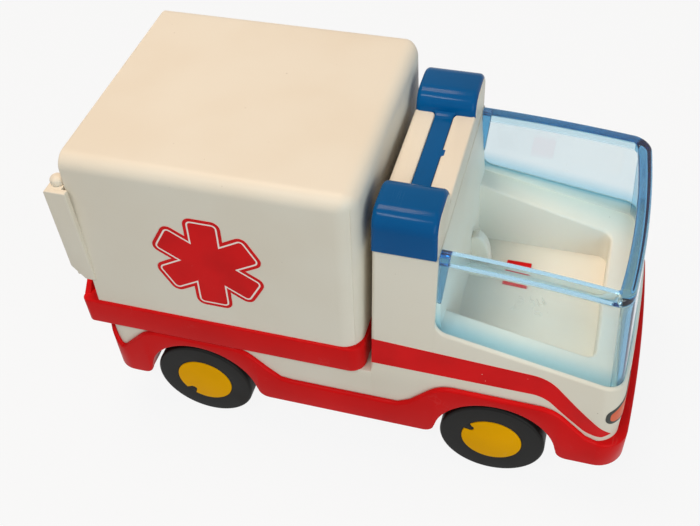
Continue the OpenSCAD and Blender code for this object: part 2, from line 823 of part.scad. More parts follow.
module hub(x, s, turn) {
    color("goldenrod") outward(x, s) difference() {
        union() {
            translate([0, 0, tyre_in + hub_step]) cylinder(d = hub_d, h = hub_face - tyre_in - hub_step);
            translate([0, 0, tyre_in]) cylinder(d = hub_d / 2, h = 2 * hub_step);
        }
        translate([0, 0, -1]) cylinder(d = axle_d, h = axle_l / 2 + 1);
        rotate(turn) translate([notch_place, 0, hub_face - notch_depth]) cylinder(r = notch_r, h = far);
    }
}

module tyre(x, s) {
    r = tyre_round;
    color([0.16, 0.15, 0.15]) outward(x, s) rotate_extrude() difference() {
        translate([0, tyre_in]) {
            square([tyre_d / 2 - r, tyre_w]);
            translate([0, r]) square([tyre_d / 2, tyre_w - 2 * r]);
            for (y = [r, tyre_w - r]) translate([tyre_d / 2 - r, y]) circle(r);
        }
        translate([-1, 0]) square([hub_d / 2 + 1, far]);
    }
}

// Labels

module star_2d() {
    offset(star_soft, $fn = 16) offset(-star_soft)
        for (a = [0, 60, 120]) rotate(a) square([star_arm_w, 2 * star_arm], center = true);
}

module medical_star(s) {
    color("crimson") intersection() {
        difference() {
            box_form(-label_t);
            box_form(0, tray_z - 1);
        }
        translate([star_x, s > 0 ? far : 0, star_z]) rotate([90, 0, 0]) linear_extrude(far) star_2d();
    }
}

// Layer of label thickness on the body's outside
module label_layer() {
    difference() {
        union() {
            low_form(-label_t);
            cab_form(-label_t, deck_z - eps);
        }
        low_form(0, base_top - 1);
        cab_form(0, deck_z - eps, cab_top + 1);
    }
}

module cab_stripe(s) {
    x0 = cab_rear_x + stripe_edge;
    x1 = front_axle_x + bump_top_l / 2 - stripe_lead;
    x2 = x1 + bump_slope_l + stripe_tip_l;
    z1 = stripe_z - stripe_fall * (x1 - x0);
    tip = ledge_low + stripe_tip_h;
    low = tip - stripe_tip_w * 0.65;
    color("crimson") intersection() {
        label_layer();
        across([[x0, stripe_z], [x0, stripe_z - stripe_w], [x1, z1 - stripe_w + stripe_tip_w / 2],
            [x2 - stripe_tip_w, low], [x2 + stripe_tip_l / 3, low], [x2 + stripe_tip_l, tip],
            [x2 + stripe_edge, low + stripe_tip_w], [x1, z1]], min(0, s * far), max(0, s * far));
    }
}

// Teardrop that wraps round the cab's front corner
module indicator(s) {
    x = body_front_x - front_bow - lamp_r;
    top = lamp_z + lamp_h - lamp_r;
    color("tomato") intersection() {
        label_layer();
        across(concat([for (a = [180 : 15 : 270]) [x + lamp_r * cos(a), lamp_z + lamp_r * sin(a)]],
            [[far, lamp_z - lamp_r], [far, top], [x + lamp_r * 0.6, top]]),
            s > 0 ? body_half - lamp_wrap : -far, s > 0 ? far : lamp_wrap - body_half);
    }
}

chassis();
cab_body();
windscreen();
light_bar();
tray();
box_shell();
hinge_pin(-1);  // hinge_pin_right
hinge_pin(1);  // hinge_pin_left
rear_door(-1);  // rear_door_right
rear_door(1);  // rear_door_left
axle(front_axle_x);  // front_axle
axle(rear_axle_x);  // rear_axle
hub(front_axle_x, -1, 154);  // hub_front_right
hub(front_axle_x, 1, -154);  // hub_front_left
hub(rear_axle_x, -1, 232);  // hub_rear_right
hub(rear_axle_x, 1, -232);  // hub_rear_left
tyre(front_axle_x, -1);  // tyre_front_right
tyre(front_axle_x, 1);  // tyre_front_left
tyre(rear_axle_x, -1);  // tyre_rear_right
tyre(rear_axle_x, 1);  // tyre_rear_left
medical_star(-1);  // medical_star_right
medical_star(1);  // medical_star_left
cab_stripe(-1);  // cab_stripe_right
cab_stripe(1);  // cab_stripe_left
indicator(-1);  // indicator_right
indicator(1);  // indicator_left
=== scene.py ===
# %% [markdown]
# # A toy ambulance in moulded plastic
# The real toy is a handful of snap-together mouldings: a red chassis with a wavy skirt, a cream body with an open
# cab, a clear blue windscreen, a blue light bar, and a cream box on a red tray. This lesson rebuilds each moulding
# as a surface worked out with numpy, and gives it a finish made of nodes.
# First the packed model is loaded. It is the fixed frame: every piece is made in its coordinates, in metres.

# %% Load the frame
import math

import bmesh
import bpy
import numpy as np
from mathutils import Matrix


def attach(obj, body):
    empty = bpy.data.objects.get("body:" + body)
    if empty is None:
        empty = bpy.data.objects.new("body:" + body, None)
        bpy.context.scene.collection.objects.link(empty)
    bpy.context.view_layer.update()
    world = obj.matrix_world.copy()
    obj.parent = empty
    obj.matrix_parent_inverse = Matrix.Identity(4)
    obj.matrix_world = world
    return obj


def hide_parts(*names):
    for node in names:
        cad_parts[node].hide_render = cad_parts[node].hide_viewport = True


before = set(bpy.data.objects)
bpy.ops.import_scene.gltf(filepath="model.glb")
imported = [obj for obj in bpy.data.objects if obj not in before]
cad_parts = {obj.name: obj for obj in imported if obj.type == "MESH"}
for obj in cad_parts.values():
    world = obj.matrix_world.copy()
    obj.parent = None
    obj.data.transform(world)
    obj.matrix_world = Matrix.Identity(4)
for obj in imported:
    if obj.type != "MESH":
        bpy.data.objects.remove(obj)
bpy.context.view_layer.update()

# %% [markdown]
# ## Camera
# The photograph looks down at the toy's right side from a little in front of its middle, and it leans slightly.
# A camera could be aimed by hand. Here its place and three angles are numbers measured from the picture's edges,
# so the axes follow from sines and cosines, and the roll turns the frame about the line of sight.

# %% Place the camera
VIEW_TURN, VIEW_HEIGHT, VIEW_ROLL = (math.radians(a) for a in (18.89, 47.0, -4.19))
VIEW_PLACE = (0.0770, -0.2653, 0.3511)
FOCAL_LENGTH = 49.22

back = np.array([math.sin(VIEW_TURN) * math.cos(VIEW_HEIGHT), -math.cos(VIEW_TURN) * math.cos(VIEW_HEIGHT),
                 math.sin(VIEW_HEIGHT)])
level = np.array([math.cos(VIEW_TURN), math.sin(VIEW_TURN), 0.0])
upright = np.cross(back, level)
across = math.cos(VIEW_ROLL) * level + math.sin(VIEW_ROLL) * upright
upwards = math.cos(VIEW_ROLL) * upright - math.sin(VIEW_ROLL) * level

lens = bpy.data.cameras.new("photo_camera")
lens.lens, lens.sensor_width = FOCAL_LENGTH, 36.0
lens.clip_start, lens.clip_end = 0.01, 20.0
camera = bpy.data.objects.new("photo_camera", lens)
pose = np.eye(4)
pose[:3, :3] = np.stack([across, upwards, back], axis=1)
pose[:3, 3] = VIEW_PLACE
camera.matrix_world = Matrix(pose.tolist())
bpy.context.scene.collection.objects.link(camera)
bpy.context.scene.camera = camera
print("camera at", VIEW_PLACE)

# %% [markdown]
# ## From numbers to meshes
# Every moulding is a grid of points: one index runs along a path and the other round a profile. Box modelling
# would also work, but a formula keeps each size in one place and gives an even surface for highlights.
# Sizes are in millimetres until a mesh is made. Repeated points, such as those at a pole, are merged, and faces
# are turned outwards.

# %% Mesh helpers
MM = 0.001
CREASE = math.radians(35)
SIDES = (-1, 1)
SIDE_NAMES = {-1: "right", 1: "left"}


def skin(grid, closed=False, caps=(False, False)):
    """Surface through a grid: point (i, j) joins (i, j + 1), (i + 1, j + 1) and (i + 1, j). Closed joins the last
    column to the first, and a cap is one face over the first or last row."""
    rows, cols = grid.shape[:2]
    index = np.arange(rows * cols).reshape(rows, cols)
    beside = np.roll(index, -1, axis=1)
    span = cols if closed else cols - 1
    corners = [index[:-1, :span], beside[:-1, :span], beside[1:, :span], index[1:, :span]]
    faces = np.stack(corners, axis=-1).reshape(-1, 4).tolist()
    faces += [index[0, ::-1].tolist()] * caps[0] + [index[-1].tolist()] * caps[1]
    return grid.reshape(-1, 3), faces


def mesh_of(name, parts):
    """One mesh from closed skins: scaled to metres, doubles merged, faces outwards."""
    shape = bmesh.new()
    for points, faces in parts:
        part = bpy.data.meshes.new("part")
        part.from_pydata((points * MM).tolist(), [], faces)
        one = bmesh.new()
        one.from_mesh(part)
        bmesh.ops.remove_doubles(one, verts=one.verts, dist=2e-6)
        bmesh.ops.recalc_face_normals(one, faces=one.faces)
        one.to_mesh(part)
        one.free()
        shape.from_mesh(part)
        bpy.data.meshes.remove(part)
    mesh = bpy.data.meshes.new(name)
    shape.to_mesh(mesh)
    shape.free()
    return mesh


def piece_of(name, mesh, body, node):
    """Object of a mesh at the origin, smooth but for its creases, riding on a body in place of a node of the packed
    model."""
    mesh.shade_smooth()
    mesh.set_sharp_from_angle(angle=CREASE)
    piece = bpy.data.objects.new(name, mesh)
    bpy.context.scene.collection.objects.link(piece)
    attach(piece, body)
    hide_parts(node)
    print(name, "has", len(mesh.polygons), "faces")
    return piece


def moulding(name, parts, body, node):
    """Piece made of closed skins."""
    return piece_of(name, mesh_of(name, parts), body, node)


print("one millimetre is", MM, "m, and creases start at", round(math.degrees(CREASE)), "degrees")

# %% [markdown]
# ## Pushed and turned shapes
# Plates, blocks and ribs are an outline pushed through a thickness with rounded edges. Wheels and pins are a
# profile turned about an axis. Corners of outlines are arcs that touch both sides. Real mouldings have no sharp
# edges, and the small radii catch the light.

# %% Outlines, slabs and turned shapes
AXES = {"xy": (0, 1, 2), "xz": (0, 2, 1), "yz": (2, 0, 1)}


def rounded(corners, radius, steps=7):
    """Outline with arcs at its corners: each arc's centre lies on the bisector, at the radius over the sine of
    half the angle, and the arc turns evenly from one side to the other."""
    p = np.asarray(corners, float)
    r = np.broadcast_to(np.asarray(radius, float), len(p))[:, None]
    to_last, to_next = np.roll(p, 1, axis=0) - p, np.roll(p, -1, axis=0) - p
    to_last /= np.linalg.norm(to_last, axis=1, keepdims=True)
    to_next /= np.linalg.norm(to_next, axis=1, keepdims=True)
    half = np.arccos(np.clip((to_last * to_next).sum(axis=1, keepdims=True), -1, 1)) / 2
    bisector = to_last + to_next
    centre = p + bisector / np.linalg.norm(bisector, axis=1, keepdims=True) * r / np.sin(half)
    first, last = p + to_last * r / np.tan(half) - centre, p + to_next * r / np.tan(half) - centre
    turn = (np.pi - 2 * half)[:, None]
    t = np.linspace(0, 1, steps)[None, :, None]
    arc = (np.sin((1 - t) * turn) * first[:, None] + np.sin(t * turn) * last[:, None]) / np.sin(turn)
    return (centre[:, None] + arc).reshape(-1, 2)


def outward(outline):
    """Outward normal of an anticlockwise outline: the chord between a point's neighbours, turned a quarter."""
    chord = np.roll(outline, -1, axis=0) - np.roll(outline, 1, axis=0)
    normal = np.stack([chord[:, 1], -chord[:, 0]], axis=1)
    return normal / np.linalg.norm(normal, axis=1, keepdims=True)


def slab(outline, low, high, edge=0.4, plane="xy", steps=5):
    """Outline pushed from low to high: at each face it moves in by e (1 - sin a) while the height moves by
    e (1 - cos a), so the edges are quarter rounds of radius e."""
    area = (outline[:, 0] * np.roll(outline[:, 1], -1) - np.roll(outline[:, 0], -1) * outline[:, 1]).sum()
    outline = outline if area > 0 else outline[::-1]
    edge = np.broadcast_to(np.asarray(edge, float), len(outline))
    edge = edge if area > 0 else edge[::-1]
    a = np.linspace(0, np.pi / 2, steps)[:, None]
    inset = np.concatenate([(1 - np.sin(a)) * edge, (1 - np.sin(a[::-1])) * edge])
    height = np.concatenate([low + (1 - np.cos(a)) * edge, high - (1 - np.cos(a[::-1])) * edge])
    flat = outline[None] - outward(outline)[None] * inset[..., None]
    grid = np.concatenate([flat, height[..., None]], axis=2)
    return skin(grid[..., list(AXES[plane])], closed=True, caps=(True, True))


def bar(x, y, z, edge=0.4):
    """Plain block between two X, Y and Z limits, with rounded edges."""
    corners = [(x[0], y[0]), (x[1], y[0]), (x[1], y[1]), (x[0], y[1])]
    return slab(rounded(corners, 1.5 * edge, 4), z[0], z[1], edge)


def turned(profile, centre, axis="y", steps=96, closed=True):
    """Profile of (radius, height) points turned about an axis: radius times cosine and sine across it."""
    t = np.linspace(0, 2 * np.pi, steps + 1)[:, None]
    r, h = profile[None, :, 0], profile[None, :, 1]
    u, v = centre[0] + r * np.cos(t), centre[1] + r * np.sin(t)
    return skin(points_at(u, h, v) if axis == "y" else points_at(u, v, h), closed=closed)


def points_at(x, y, z):
    """Points from three arrays that are stretched to one shape."""
    return np.stack(np.broadcast_arrays(x, y, z), axis=-1)


def both_halves(grid):
    """Right half of a shape, from one end to the middle, joined to its mirror image."""
    mirror = grid[::-1] * np.array([1.0, -1.0, 1.0])
    return np.concatenate([grid, mirror[1:]])


def smooth(x, low, high):
    """Blend from 0 to 1 between low and high along 3 t squared minus 2 t cubed."""
    t = np.clip((x - low) / (high - low), 0, 1)
    return t * t * (3 - 2 * t)


print("a square with rounded corners has", len(rounded([(0, 0), (9, 0), (9, 9), (0, 9)], 1.0)), "points")

# %% [markdown]
# ## The cab's form
# The cab leans in on all sides above the deck, and its front is bowed. The bend at the deck is soft on the
# toy, so the lean starts along a parabola. All cab pieces, the glass and the labels read the same three formulas,
# which keeps them the same distance apart everywhere.

# %% Cab formulas
DECK, BEND = 50.1, 5.0
BODY_HALF, NOSE, CAB_REAR, GLASS_X = 53.4, 107.0, 9.6, 33.5
SIDE_LEAN, FRONT_LEAN, WALL_LEAN = 0.152, 0.066, 0.045
CAB_ROUND, BOW = 8.0, 2.4
CAB_TOP, SHOULDER, LIP_Z, LIP_FALL, LIP_H = 119.6, 109.4, 76.6, 0.19, 4.6
WALL_FRONT = 33.0
AXLE_X, AXLE_Z = (58.5, -64.5), 21.0


def rise(z):
    """Height above the deck that the lean counts: zero, then a parabola over the bend, then a straight line."""
    z = np.asarray(z, float)
    soft = np.clip(z - DECK + BEND, 0, 2 * BEND) ** 2 / (4 * BEND)
    return soft + np.maximum(0, z - DECK - BEND)


def side(z):
    """Half width of the cab at a height."""
    return BODY_HALF - SIDE_LEAN * rise(z)


def wall_face(z):
    """Front face of the cab's rear wall at a height."""
    return WALL_FRONT + WALL_LEAN * (CAB_TOP - z)


def cab_path(t, z, inset=0.0, start=GLASS_X):
    """Right half of the cab's outline at a height: t runs along the flat side from 0 to 1, round the corner's arc
    to 2, and along the front to its middle at 3. The front falls back by the bow times the square of y over the
    half width."""
    half, nose = side(z) - inset, NOSE - FRONT_LEAN * rise(z) - inset
    r = np.maximum(1.0, CAB_ROUND - inset)
    a = np.clip(t - 1, 0, 1) * np.pi / 2
    y = -(half - r) - r * np.cos(a) + (half - r) * np.clip(t - 2, 0, 1)
    curved = nose - r + r * np.sin(a) - BOW * (y / half) ** 2
    x = np.where(t < 1, start + (nose - r - BOW - start) * t, curved)
    return x, y


def over_wheels(x, radius, low, foot=0.0, ahead=0.0):
    """Lower edge of a side: level, a rounded foot beside each wheel, and a circle whose middle is ahead of the
    axle by the length given."""
    d = np.min(np.abs(np.asarray(x)[..., None] - np.array(AXLE_X) - ahead), axis=-1)
    circle = AXLE_Z + np.sqrt(np.maximum(0, radius ** 2 - d ** 2))
    bend = low + foot - np.sqrt(np.maximum(0, foot ** 2 - np.clip(radius + foot - d, 0, foot) ** 2))
    return np.where(d < radius, np.maximum(low + foot, circle), bend)


def side_stations(x0, x1, radius, foot=0.0, ahead=0.0):
    """Stations along a side, close together where the edge over a wheel is steep: cosines of even angles."""
    a = np.radians(np.linspace(6, 90, 18))
    f = np.linspace(0, np.pi / 2, 7)
    d = np.concatenate([radius * np.cos(a), radius + max(foot, 0.01) * (1 - np.sin(f))])
    wheels = np.array(AXLE_X)[:, None] + ahead + np.concatenate([d, -d])[None]
    x = np.concatenate([np.linspace(x0, x1, 41), wheels.ravel()])
    return np.unique(np.round(x[(x >= x0) & (x <= x1)], 3))


print("cab half width at deck, lip and top:", side(np.array([DECK, LIP_Z, CAB_TOP])).round(2))

# %% [markdown]
# ## Red chassis
# The skirt is a band of even thickness that runs all round the toy. Its top edge is a wave that rises over
# the wheels, and its lower edge is cut by the wheel arches. One profile, stretched between the two edges at each
# station of the path, gives the band. The plate, the bearings and the snap clip under the body are slabs.

# %% Chassis
WAVE = np.array([(-250, 49.3), (-113.5, 49.3), (-99.4, 34.5), (-85.5, 49.3), (-43.5, 49.3), (-28.5, 34.5),
                 (22.5, 34.5), (37.0, 50.6), (80.6, 50.0), (95.7, 34.5), (250, 34.5)])
WAVE_MIDDLE, LOW_BEND, HIGH_BEND = 40, 3.0, 6.0
ARCH_R, ARCH_AHEAD, FOOT, SKIRT_LOW = 24.2, 1.0, 4.4, 20.0
SKIRT_REAR, SKIRT_NOSE, SKIRT_HALF, SKIRT_ROUND, BUMPER_ROUND = -106.0, 110.8, 55.3, 9.0, 9.9
SKIRT_T, BUMPER_SHARE = 1.8, 2.3
FLAT_REAR, FLAT_FRONT = -96.9, 98.4
LINING_T, LINING_IN, LINING_OUT = 1.2, 46.0, 54.6
PLATE_HALF, BAY_HALF, BAY_IN = 53.3, 25, 37.8
LINE_POINTS, ARC_POINTS = 12, 13


def soft_line(x, legs, reach):
    """Height at x of straight legs whose corners are parabolas that start at that reach before a corner."""
    corner, reach = legs[1:-1], np.broadcast_to(reach, len(legs) - 2)[:, None]
    to_last, to_next = legs[:-2] - corner, legs[2:] - corner
    p = corner + to_last / np.linalg.norm(to_last, axis=1, keepdims=True) * reach
    q = corner + to_next / np.linalg.norm(to_next, axis=1, keepdims=True) * reach
    t = np.linspace(0, 1, 9)[None, :, None]
    curve = ((1 - t) ** 2 * p[:, None] + 2 * t * (1 - t) * corner[:, None] + t ** 2 * q[:, None]).reshape(-1, 2)
    curve = np.concatenate([legs[:1], curve, legs[-1:]])
    return np.interp(x, curve[:, 0], curve[:, 1])


def wave(x):
    """Top edge of the skirt: crisp low corners, softer high ones."""
    return soft_line(x, WAVE, np.where(WAVE[1:-1, 1] > WAVE_MIDDLE, HIGH_BEND, LOW_BEND))


def half_plan(rear, nose, half, r_rear, r_front, bow, stations):
    """Right half of a plan outline from the middle of the rear to the middle of the front: line, arc, side, arc,
    and a front that falls back by the bow times the square of y over the half width."""
    a = np.linspace(0, np.pi / 2, ARC_POINTS)
    mid = np.linspace(0, 1, LINE_POINTS + 1)
    back_line = np.stack([np.full(LINE_POINTS, rear), -(half - r_rear) * mid[:-1]], axis=1)
    back_arc = np.stack([rear + r_rear * (1 - np.cos(a)), -(half - r_rear) - r_rear * np.sin(a)], axis=1)
    flat = np.stack([stations, np.full(len(stations), -half)], axis=1)
    front_arc = np.stack([nose - r_front + r_front * np.sin(a), -(half - r_front) - r_front * np.cos(a)], axis=1)
    front_line = np.stack([np.full(LINE_POINTS, nose), -(half - r_front) * (1 - mid[1:])], axis=1)
    front = np.concatenate([front_arc, front_line])
    front[:, 0] -= bow * (front[:, 1] / half) ** 2
    return np.concatenate([back_line, back_arc, flat, front])


def chassis_skirt():
    """Closed profile of outside, rounded ledge, inside and rounded foot, set at each station between the arch
    edge and the wave: height = low + share * (high - low) + a small shift for the roundings. Round the rear
    corner the wave is read at the length along the arc, and at the front the wall is thicker by a share."""
    stations = side_stations(FLAT_REAR, FLAT_FRONT, ARCH_R, FOOT, ARCH_AHEAD)
    a = np.linspace(0, np.pi / 2, 6)
    ledge, foot, inner = 1.4, 0.7, 0.25
    inset = np.concatenate([foot * (1 - np.sin(a)), ledge * (1 - np.cos(a)), SKIRT_T - inner * (1 - np.sin(a)),
                            SKIRT_T - inner * (1 - np.cos(a))])
    shift = np.concatenate([foot * (1 - np.cos(a)), -ledge * (1 - np.sin(a)), -inner * (1 - np.cos(a)),
                            inner * (1 - np.sin(a))])
    share = np.repeat([0.0, 1.0, 1.0, 0.0], 6)
    loops = np.stack([half_plan(SKIRT_REAR + d, SKIRT_NOSE - BUMPER_SHARE * d, SKIRT_HALF - d, SKIRT_ROUND - d,
                                BUMPER_ROUND - d, BOW, stations) for d in inset]).transpose(1, 0, 2)
    x = loops[:, :1, 0]
    to_side = np.concatenate([np.full(LINE_POINTS, np.pi / 2), np.linspace(np.pi / 2, 0, ARC_POINTS)])
    run = x.copy()
    run[:len(to_side), 0] = SKIRT_REAR + SKIRT_ROUND * (1 - to_side)
    low, high = over_wheels(x, ARCH_R, SKIRT_LOW, FOOT, ARCH_AHEAD), wave(run)
    z = low + share[None] * (high - low) + shift[None]
    grid = both_halves(np.concatenate([loops, z[..., None]], axis=2))
    return skin(grid, closed=True)


def arch_lining(x, s):
    """Thin half ring behind an arch of the skirt, so that the arch has depth: a four-sided section turned about the
    arch's middle."""
    a = np.radians(np.linspace(8, 172, 49))[:, None]
    r = ARCH_R + np.array([0, 0, LINING_T, LINING_T])
    y = s * np.array([LINING_OUT, LINING_IN, LINING_IN, LINING_OUT])
    return skin(points_at(x + ARCH_AHEAD + r * np.cos(a), y, AXLE_Z + r * np.sin(a)), closed=True, caps=(True, True))


def chassis_plate():
    """Plate with square bays for the wheels, as a rounded slab."""
    bays = [(x + u * BAY_HALF, -y) for x in AXLE_X[::-1]
            for u, y in ((-1, PLATE_HALF), (-1, BAY_IN), (1, BAY_IN), (1, PLATE_HALF))]
    right = [(-104, -PLATE_HALF), *bays, (106.5, -PLATE_HALF), (108.8, -20)]
    corners = np.array(right + [(x, -y) for x, y in right[::-1]])
    radii = np.array([7.0] + [0.8] * 8 + [8.0, 20.0])
    return slab(rounded(corners, np.concatenate([radii, radii[::-1]])), 24.5, 27.0, 0.3)


def bearing(x, s):
    """Round-bottomed block that carries an axle's end."""
    corners = [(x - 4.65, 16.3), (x + 4.65, 16.3), (x + 4.65, 25.5), (x - 4.65, 25.5)]
    y = sorted((s * 32.9, s * 37.85))
    return slab(rounded(corners, [4.6, 4.6, 0.4, 0.4]), y[0], y[1], 0.3, "xz")


def snap_clip():
    """Upright with a hook at its top, pushed along the vehicle."""
    corners = [(10.3, 26), (18.3, 26), (18.3, 46.3), (20.5, 46.3), (20.5, 47.0), (19.6, 47.6), (10.3, 47.6)]
    return slab(rounded(corners, [0.4, 0.4, 0.2, 0.2, 0.2, 0.3, 0.5], 4), 51.0, 61.4, 0.3, "yz")


chassis_parts = [chassis_skirt(), chassis_plate()]
chassis_parts += [make(x, s) for make in (bearing, arch_lining) for x in AXLE_X for s in SIDES] + [snap_clip()]
chassis = moulding("red_chassis", chassis_parts, "vehicle", "chassis")

# %% [markdown]
# ## Cream body
# The body is one moulding on the toy. Here it is a few closed skins that meet: a low band round the rear with a
# deck, a block for the cab's rear wall with its raised middle, and a nose whose profile goes up the outside, over
# the thin lip, down to the shelf that carries the glass, and down again into the well with the floor. Carrying that
# profile round the front is easier to keep even than cutting the well out of a block.

# %% Body: rear band
WALL_T = 2.4
BODY_REAR, BODY_ROUND, BODY_ARCH, BODY_LOW = -104.1, 7.1, 26.0, 27.2


def rear_band():
    """Wall of even thickness round the rear, from the arch edge to the deck, carried along the plan."""
    stations = side_stations(FLAT_REAR, CAB_REAR, BODY_ARCH)
    a = np.linspace(0, np.pi / 2, 4)
    inset = np.concatenate([[0, 0, 0], 0.3 * (1 - np.cos(a)), [WALL_T, WALL_T, WALL_T]])
    share = np.concatenate([[0, 0.4, 0.8], np.ones(4), [1, 0.5, 0]])
    shift = np.concatenate([[0, 0, 0], -0.3 * (1 - np.sin(a)), [0, 0, 0]])
    count = LINE_POINTS + ARC_POINTS + len(stations)
    loops = np.stack([half_plan(BODY_REAR + d, NOSE, BODY_HALF - d, BODY_ROUND - d, CAB_ROUND, BOW, stations)[:count]
                      for d in inset]).transpose(1, 0, 2)
    low = np.minimum(over_wheels(loops[:, :1, 0], BODY_ARCH, BODY_LOW), DECK - 1)
    z = low + share[None] * (DECK - 0.05 - low) + shift[None]
    right = np.concatenate([loops, z[..., None]], axis=2)[::-1]
    return skin(both_halves(right), closed=True, caps=(True, True))


def deck_plate():
    """Plate that closes the rear band under the tray."""
    corners = [(-101.8, -51.1), (CAB_REAR + 0.5, -51.1), (CAB_REAR + 0.5, 51.1), (-101.8, 51.1)]
    return slab(rounded(corners, [5, 0.5, 0.5, 5]), 47.7, 49.9, 0.2)


body_parts = [rear_band(), deck_plate()]
print("rear band and deck have", sum(len(faces) for _, faces in body_parts), "faces")

# %% Body: cab wall
GLASS_ROOM = 4.4


def cab_wall():
    """Upright block from low under the deck to the shoulder: at each height its plan has the cab's width, a
    straight rear, and a front that steps from the glass to the leaning wall."""
    z = np.concatenate([[28, 40], np.linspace(DECK - BEND, DECK + BEND, 9), [62, 76, 92],
                        SHOULDER - 1 + np.sin(np.linspace(0, np.pi / 2, 6))])
    half = side(z) - 1.0 + np.sqrt(np.maximum(0, 1 - np.clip(z - SHOULDER + 1, 0, 1) ** 2))
    soft = 0.02 + 1.6 * smooth(z, DECK, DECK + 4)
    a = np.linspace(0, np.pi / 2, 6)[:, None]
    corner_x, corner_y = CAB_REAR + soft * (1 - np.cos(a)), -half + soft * (1 - np.sin(a))
    face = np.stack([np.full(len(z), GLASS_X - 0.02), -half], axis=-1)
    step = np.stack([np.full(len(z), GLASS_X - 0.02), -half + GLASS_ROOM], axis=-1)
    front = np.stack([np.maximum(wall_face(z), GLASS_X), -half + GLASS_ROOM + 0.05], axis=-1)
    right = np.concatenate([np.stack([corner_x, corner_y], axis=-1), [face, step, front]]).transpose(1, 0, 2)
    left = right[:, ::-1] * np.array([1.0, -1.0])
    plan = np.concatenate([right, left], axis=1)
    grid = np.concatenate([plan, np.broadcast_to(z[:, None, None], plan.shape[:2] + (1,))], axis=2)
    return skin(grid, closed=True, caps=(True, True))


BLOCK_IN, BLOCK_OUT, BLOCK_TOP, BLOCK_FRONT, BLOCK_ROUND = 22.5, 45.3, 127.4, 33.0, 7.5
PANEL_END, PANEL_ROUND = 23.5, 2.6


def block_outline(s, inset=0.0):
    """Cross outline of a light: square foot on the shoulder, large top radius."""
    low, out, top = SHOULDER + 0.05, BLOCK_OUT - inset, BLOCK_TOP - inset
    corners = np.array([(BLOCK_IN + inset, low), (out, low), (out, top), (BLOCK_IN + inset, top)])
    return rounded(corners * (s, 1), [0.7, 0.7, BLOCK_ROUND - inset, BLOCK_ROUND - inset], 13)


def wall_top():
    """Raised middle of the wall: a block up to the strip's groove, a panel on each side of it with rounded
    corners beside the strip, and a thin plate in front of each light."""
    parts = [bar((CAB_REAR, 33.3), (-29.9, 29.9), (100, 118.15), 0.3)]
    for x0, x1, r0, r1 in ((CAB_REAR, 17.7, 1, PANEL_ROUND), (24.9, 33.2, PANEL_ROUND, 1)):
        corners = [(x0, -PANEL_END), (x1, -PANEL_END), (x1, PANEL_END), (x0, PANEL_END)]
        parts.append(slab(rounded(corners, [r0, r1, r1, r0]), 116, CAB_TOP, 0.8))
    return parts + [slab(block_outline(s, 1.8), 30.5, 33.15, 0.15, "yz") for s in SIDES]


body_parts += [cab_wall(), *wall_top()]
print("with the cab wall the body has", sum(len(faces) for _, faces in body_parts), "faces")

# %% Body: nose
WELL_HALF, WELL_DRAFT, WELL_FRONT, WELL_ROUND, WELL_EDGE, FLOOR = 32.0, 0.098, 91.8, 4.0, 1.2, 46.2
LIP_T, SHELF_DROP, SHELF_FALL, SEAT_DROP, SEAT_FALL, SEAT_IN = 1.2, 1.8, 0.075, 3.3, 0.065, 3.4
ARCH_LEVEL, LIP_LEVEL = 40.0, 70.0


def lip_line(x):
    """Straight line of the lip, which falls forward."""
    return LIP_Z - LIP_FALL * (x - GLASS_X)


def lip_height(x):
    """Top of the lip: its line, with a quarter round up to the cab wall at its rear end."""
    near = np.clip(LIP_H - (x - GLASS_X), 0, LIP_H)
    return lip_line(x) + LIP_H - np.sqrt(np.maximum(0, LIP_H ** 2 - near ** 2))


def shelf_height(x):
    """Inner edge of the shelf under the glass, which falls forward faster than the lip."""
    return lip_line(x) - SHELF_DROP - SHELF_FALL * (x - GLASS_X)


def seat_height(x):
    """Seat of the glass behind the lip, a little below the shelf's inner edge."""
    return lip_line(x) - SEAT_DROP - SEAT_FALL * (np.clip(x, GLASS_X, WELL_FRONT) - GLASS_X)


def well_path(t, z, shrink=0.0):
    """Right half of the well's outline at a height, with the same stations as the cab's outline."""
    half, nose = WELL_HALF + WELL_DRAFT * (z - FLOOR) - shrink, WELL_FRONT - shrink
    a = np.clip(t - 1, 0, 1) * np.pi / 2
    y = -(half - WELL_ROUND) - WELL_ROUND * np.cos(a) + (half - WELL_ROUND) * np.clip(t - 2, 0, 1)
    x = np.where(t < 1, GLASS_X + (nose - WELL_ROUND - GLASS_X) * t, nose - WELL_ROUND + WELL_ROUND * np.sin(a))
    return x, y


def nose_stations():
    """Stations round the nose: along the side from the glass, then even steps round the corner and the front."""
    flat_end = NOSE - CAB_ROUND - BOW
    near = GLASS_X + LIP_H * (1 - np.cos(np.linspace(0, np.pi / 2, 9)))
    x = np.unique(np.concatenate([near, side_stations(GLASS_X, flat_end, BODY_ARCH)]))
    flat = (x - GLASS_X) / (flat_end - GLASS_X)
    return np.concatenate([flat, np.linspace(1, 2, 17)[1:], np.linspace(2, 3, 15)[1:]])


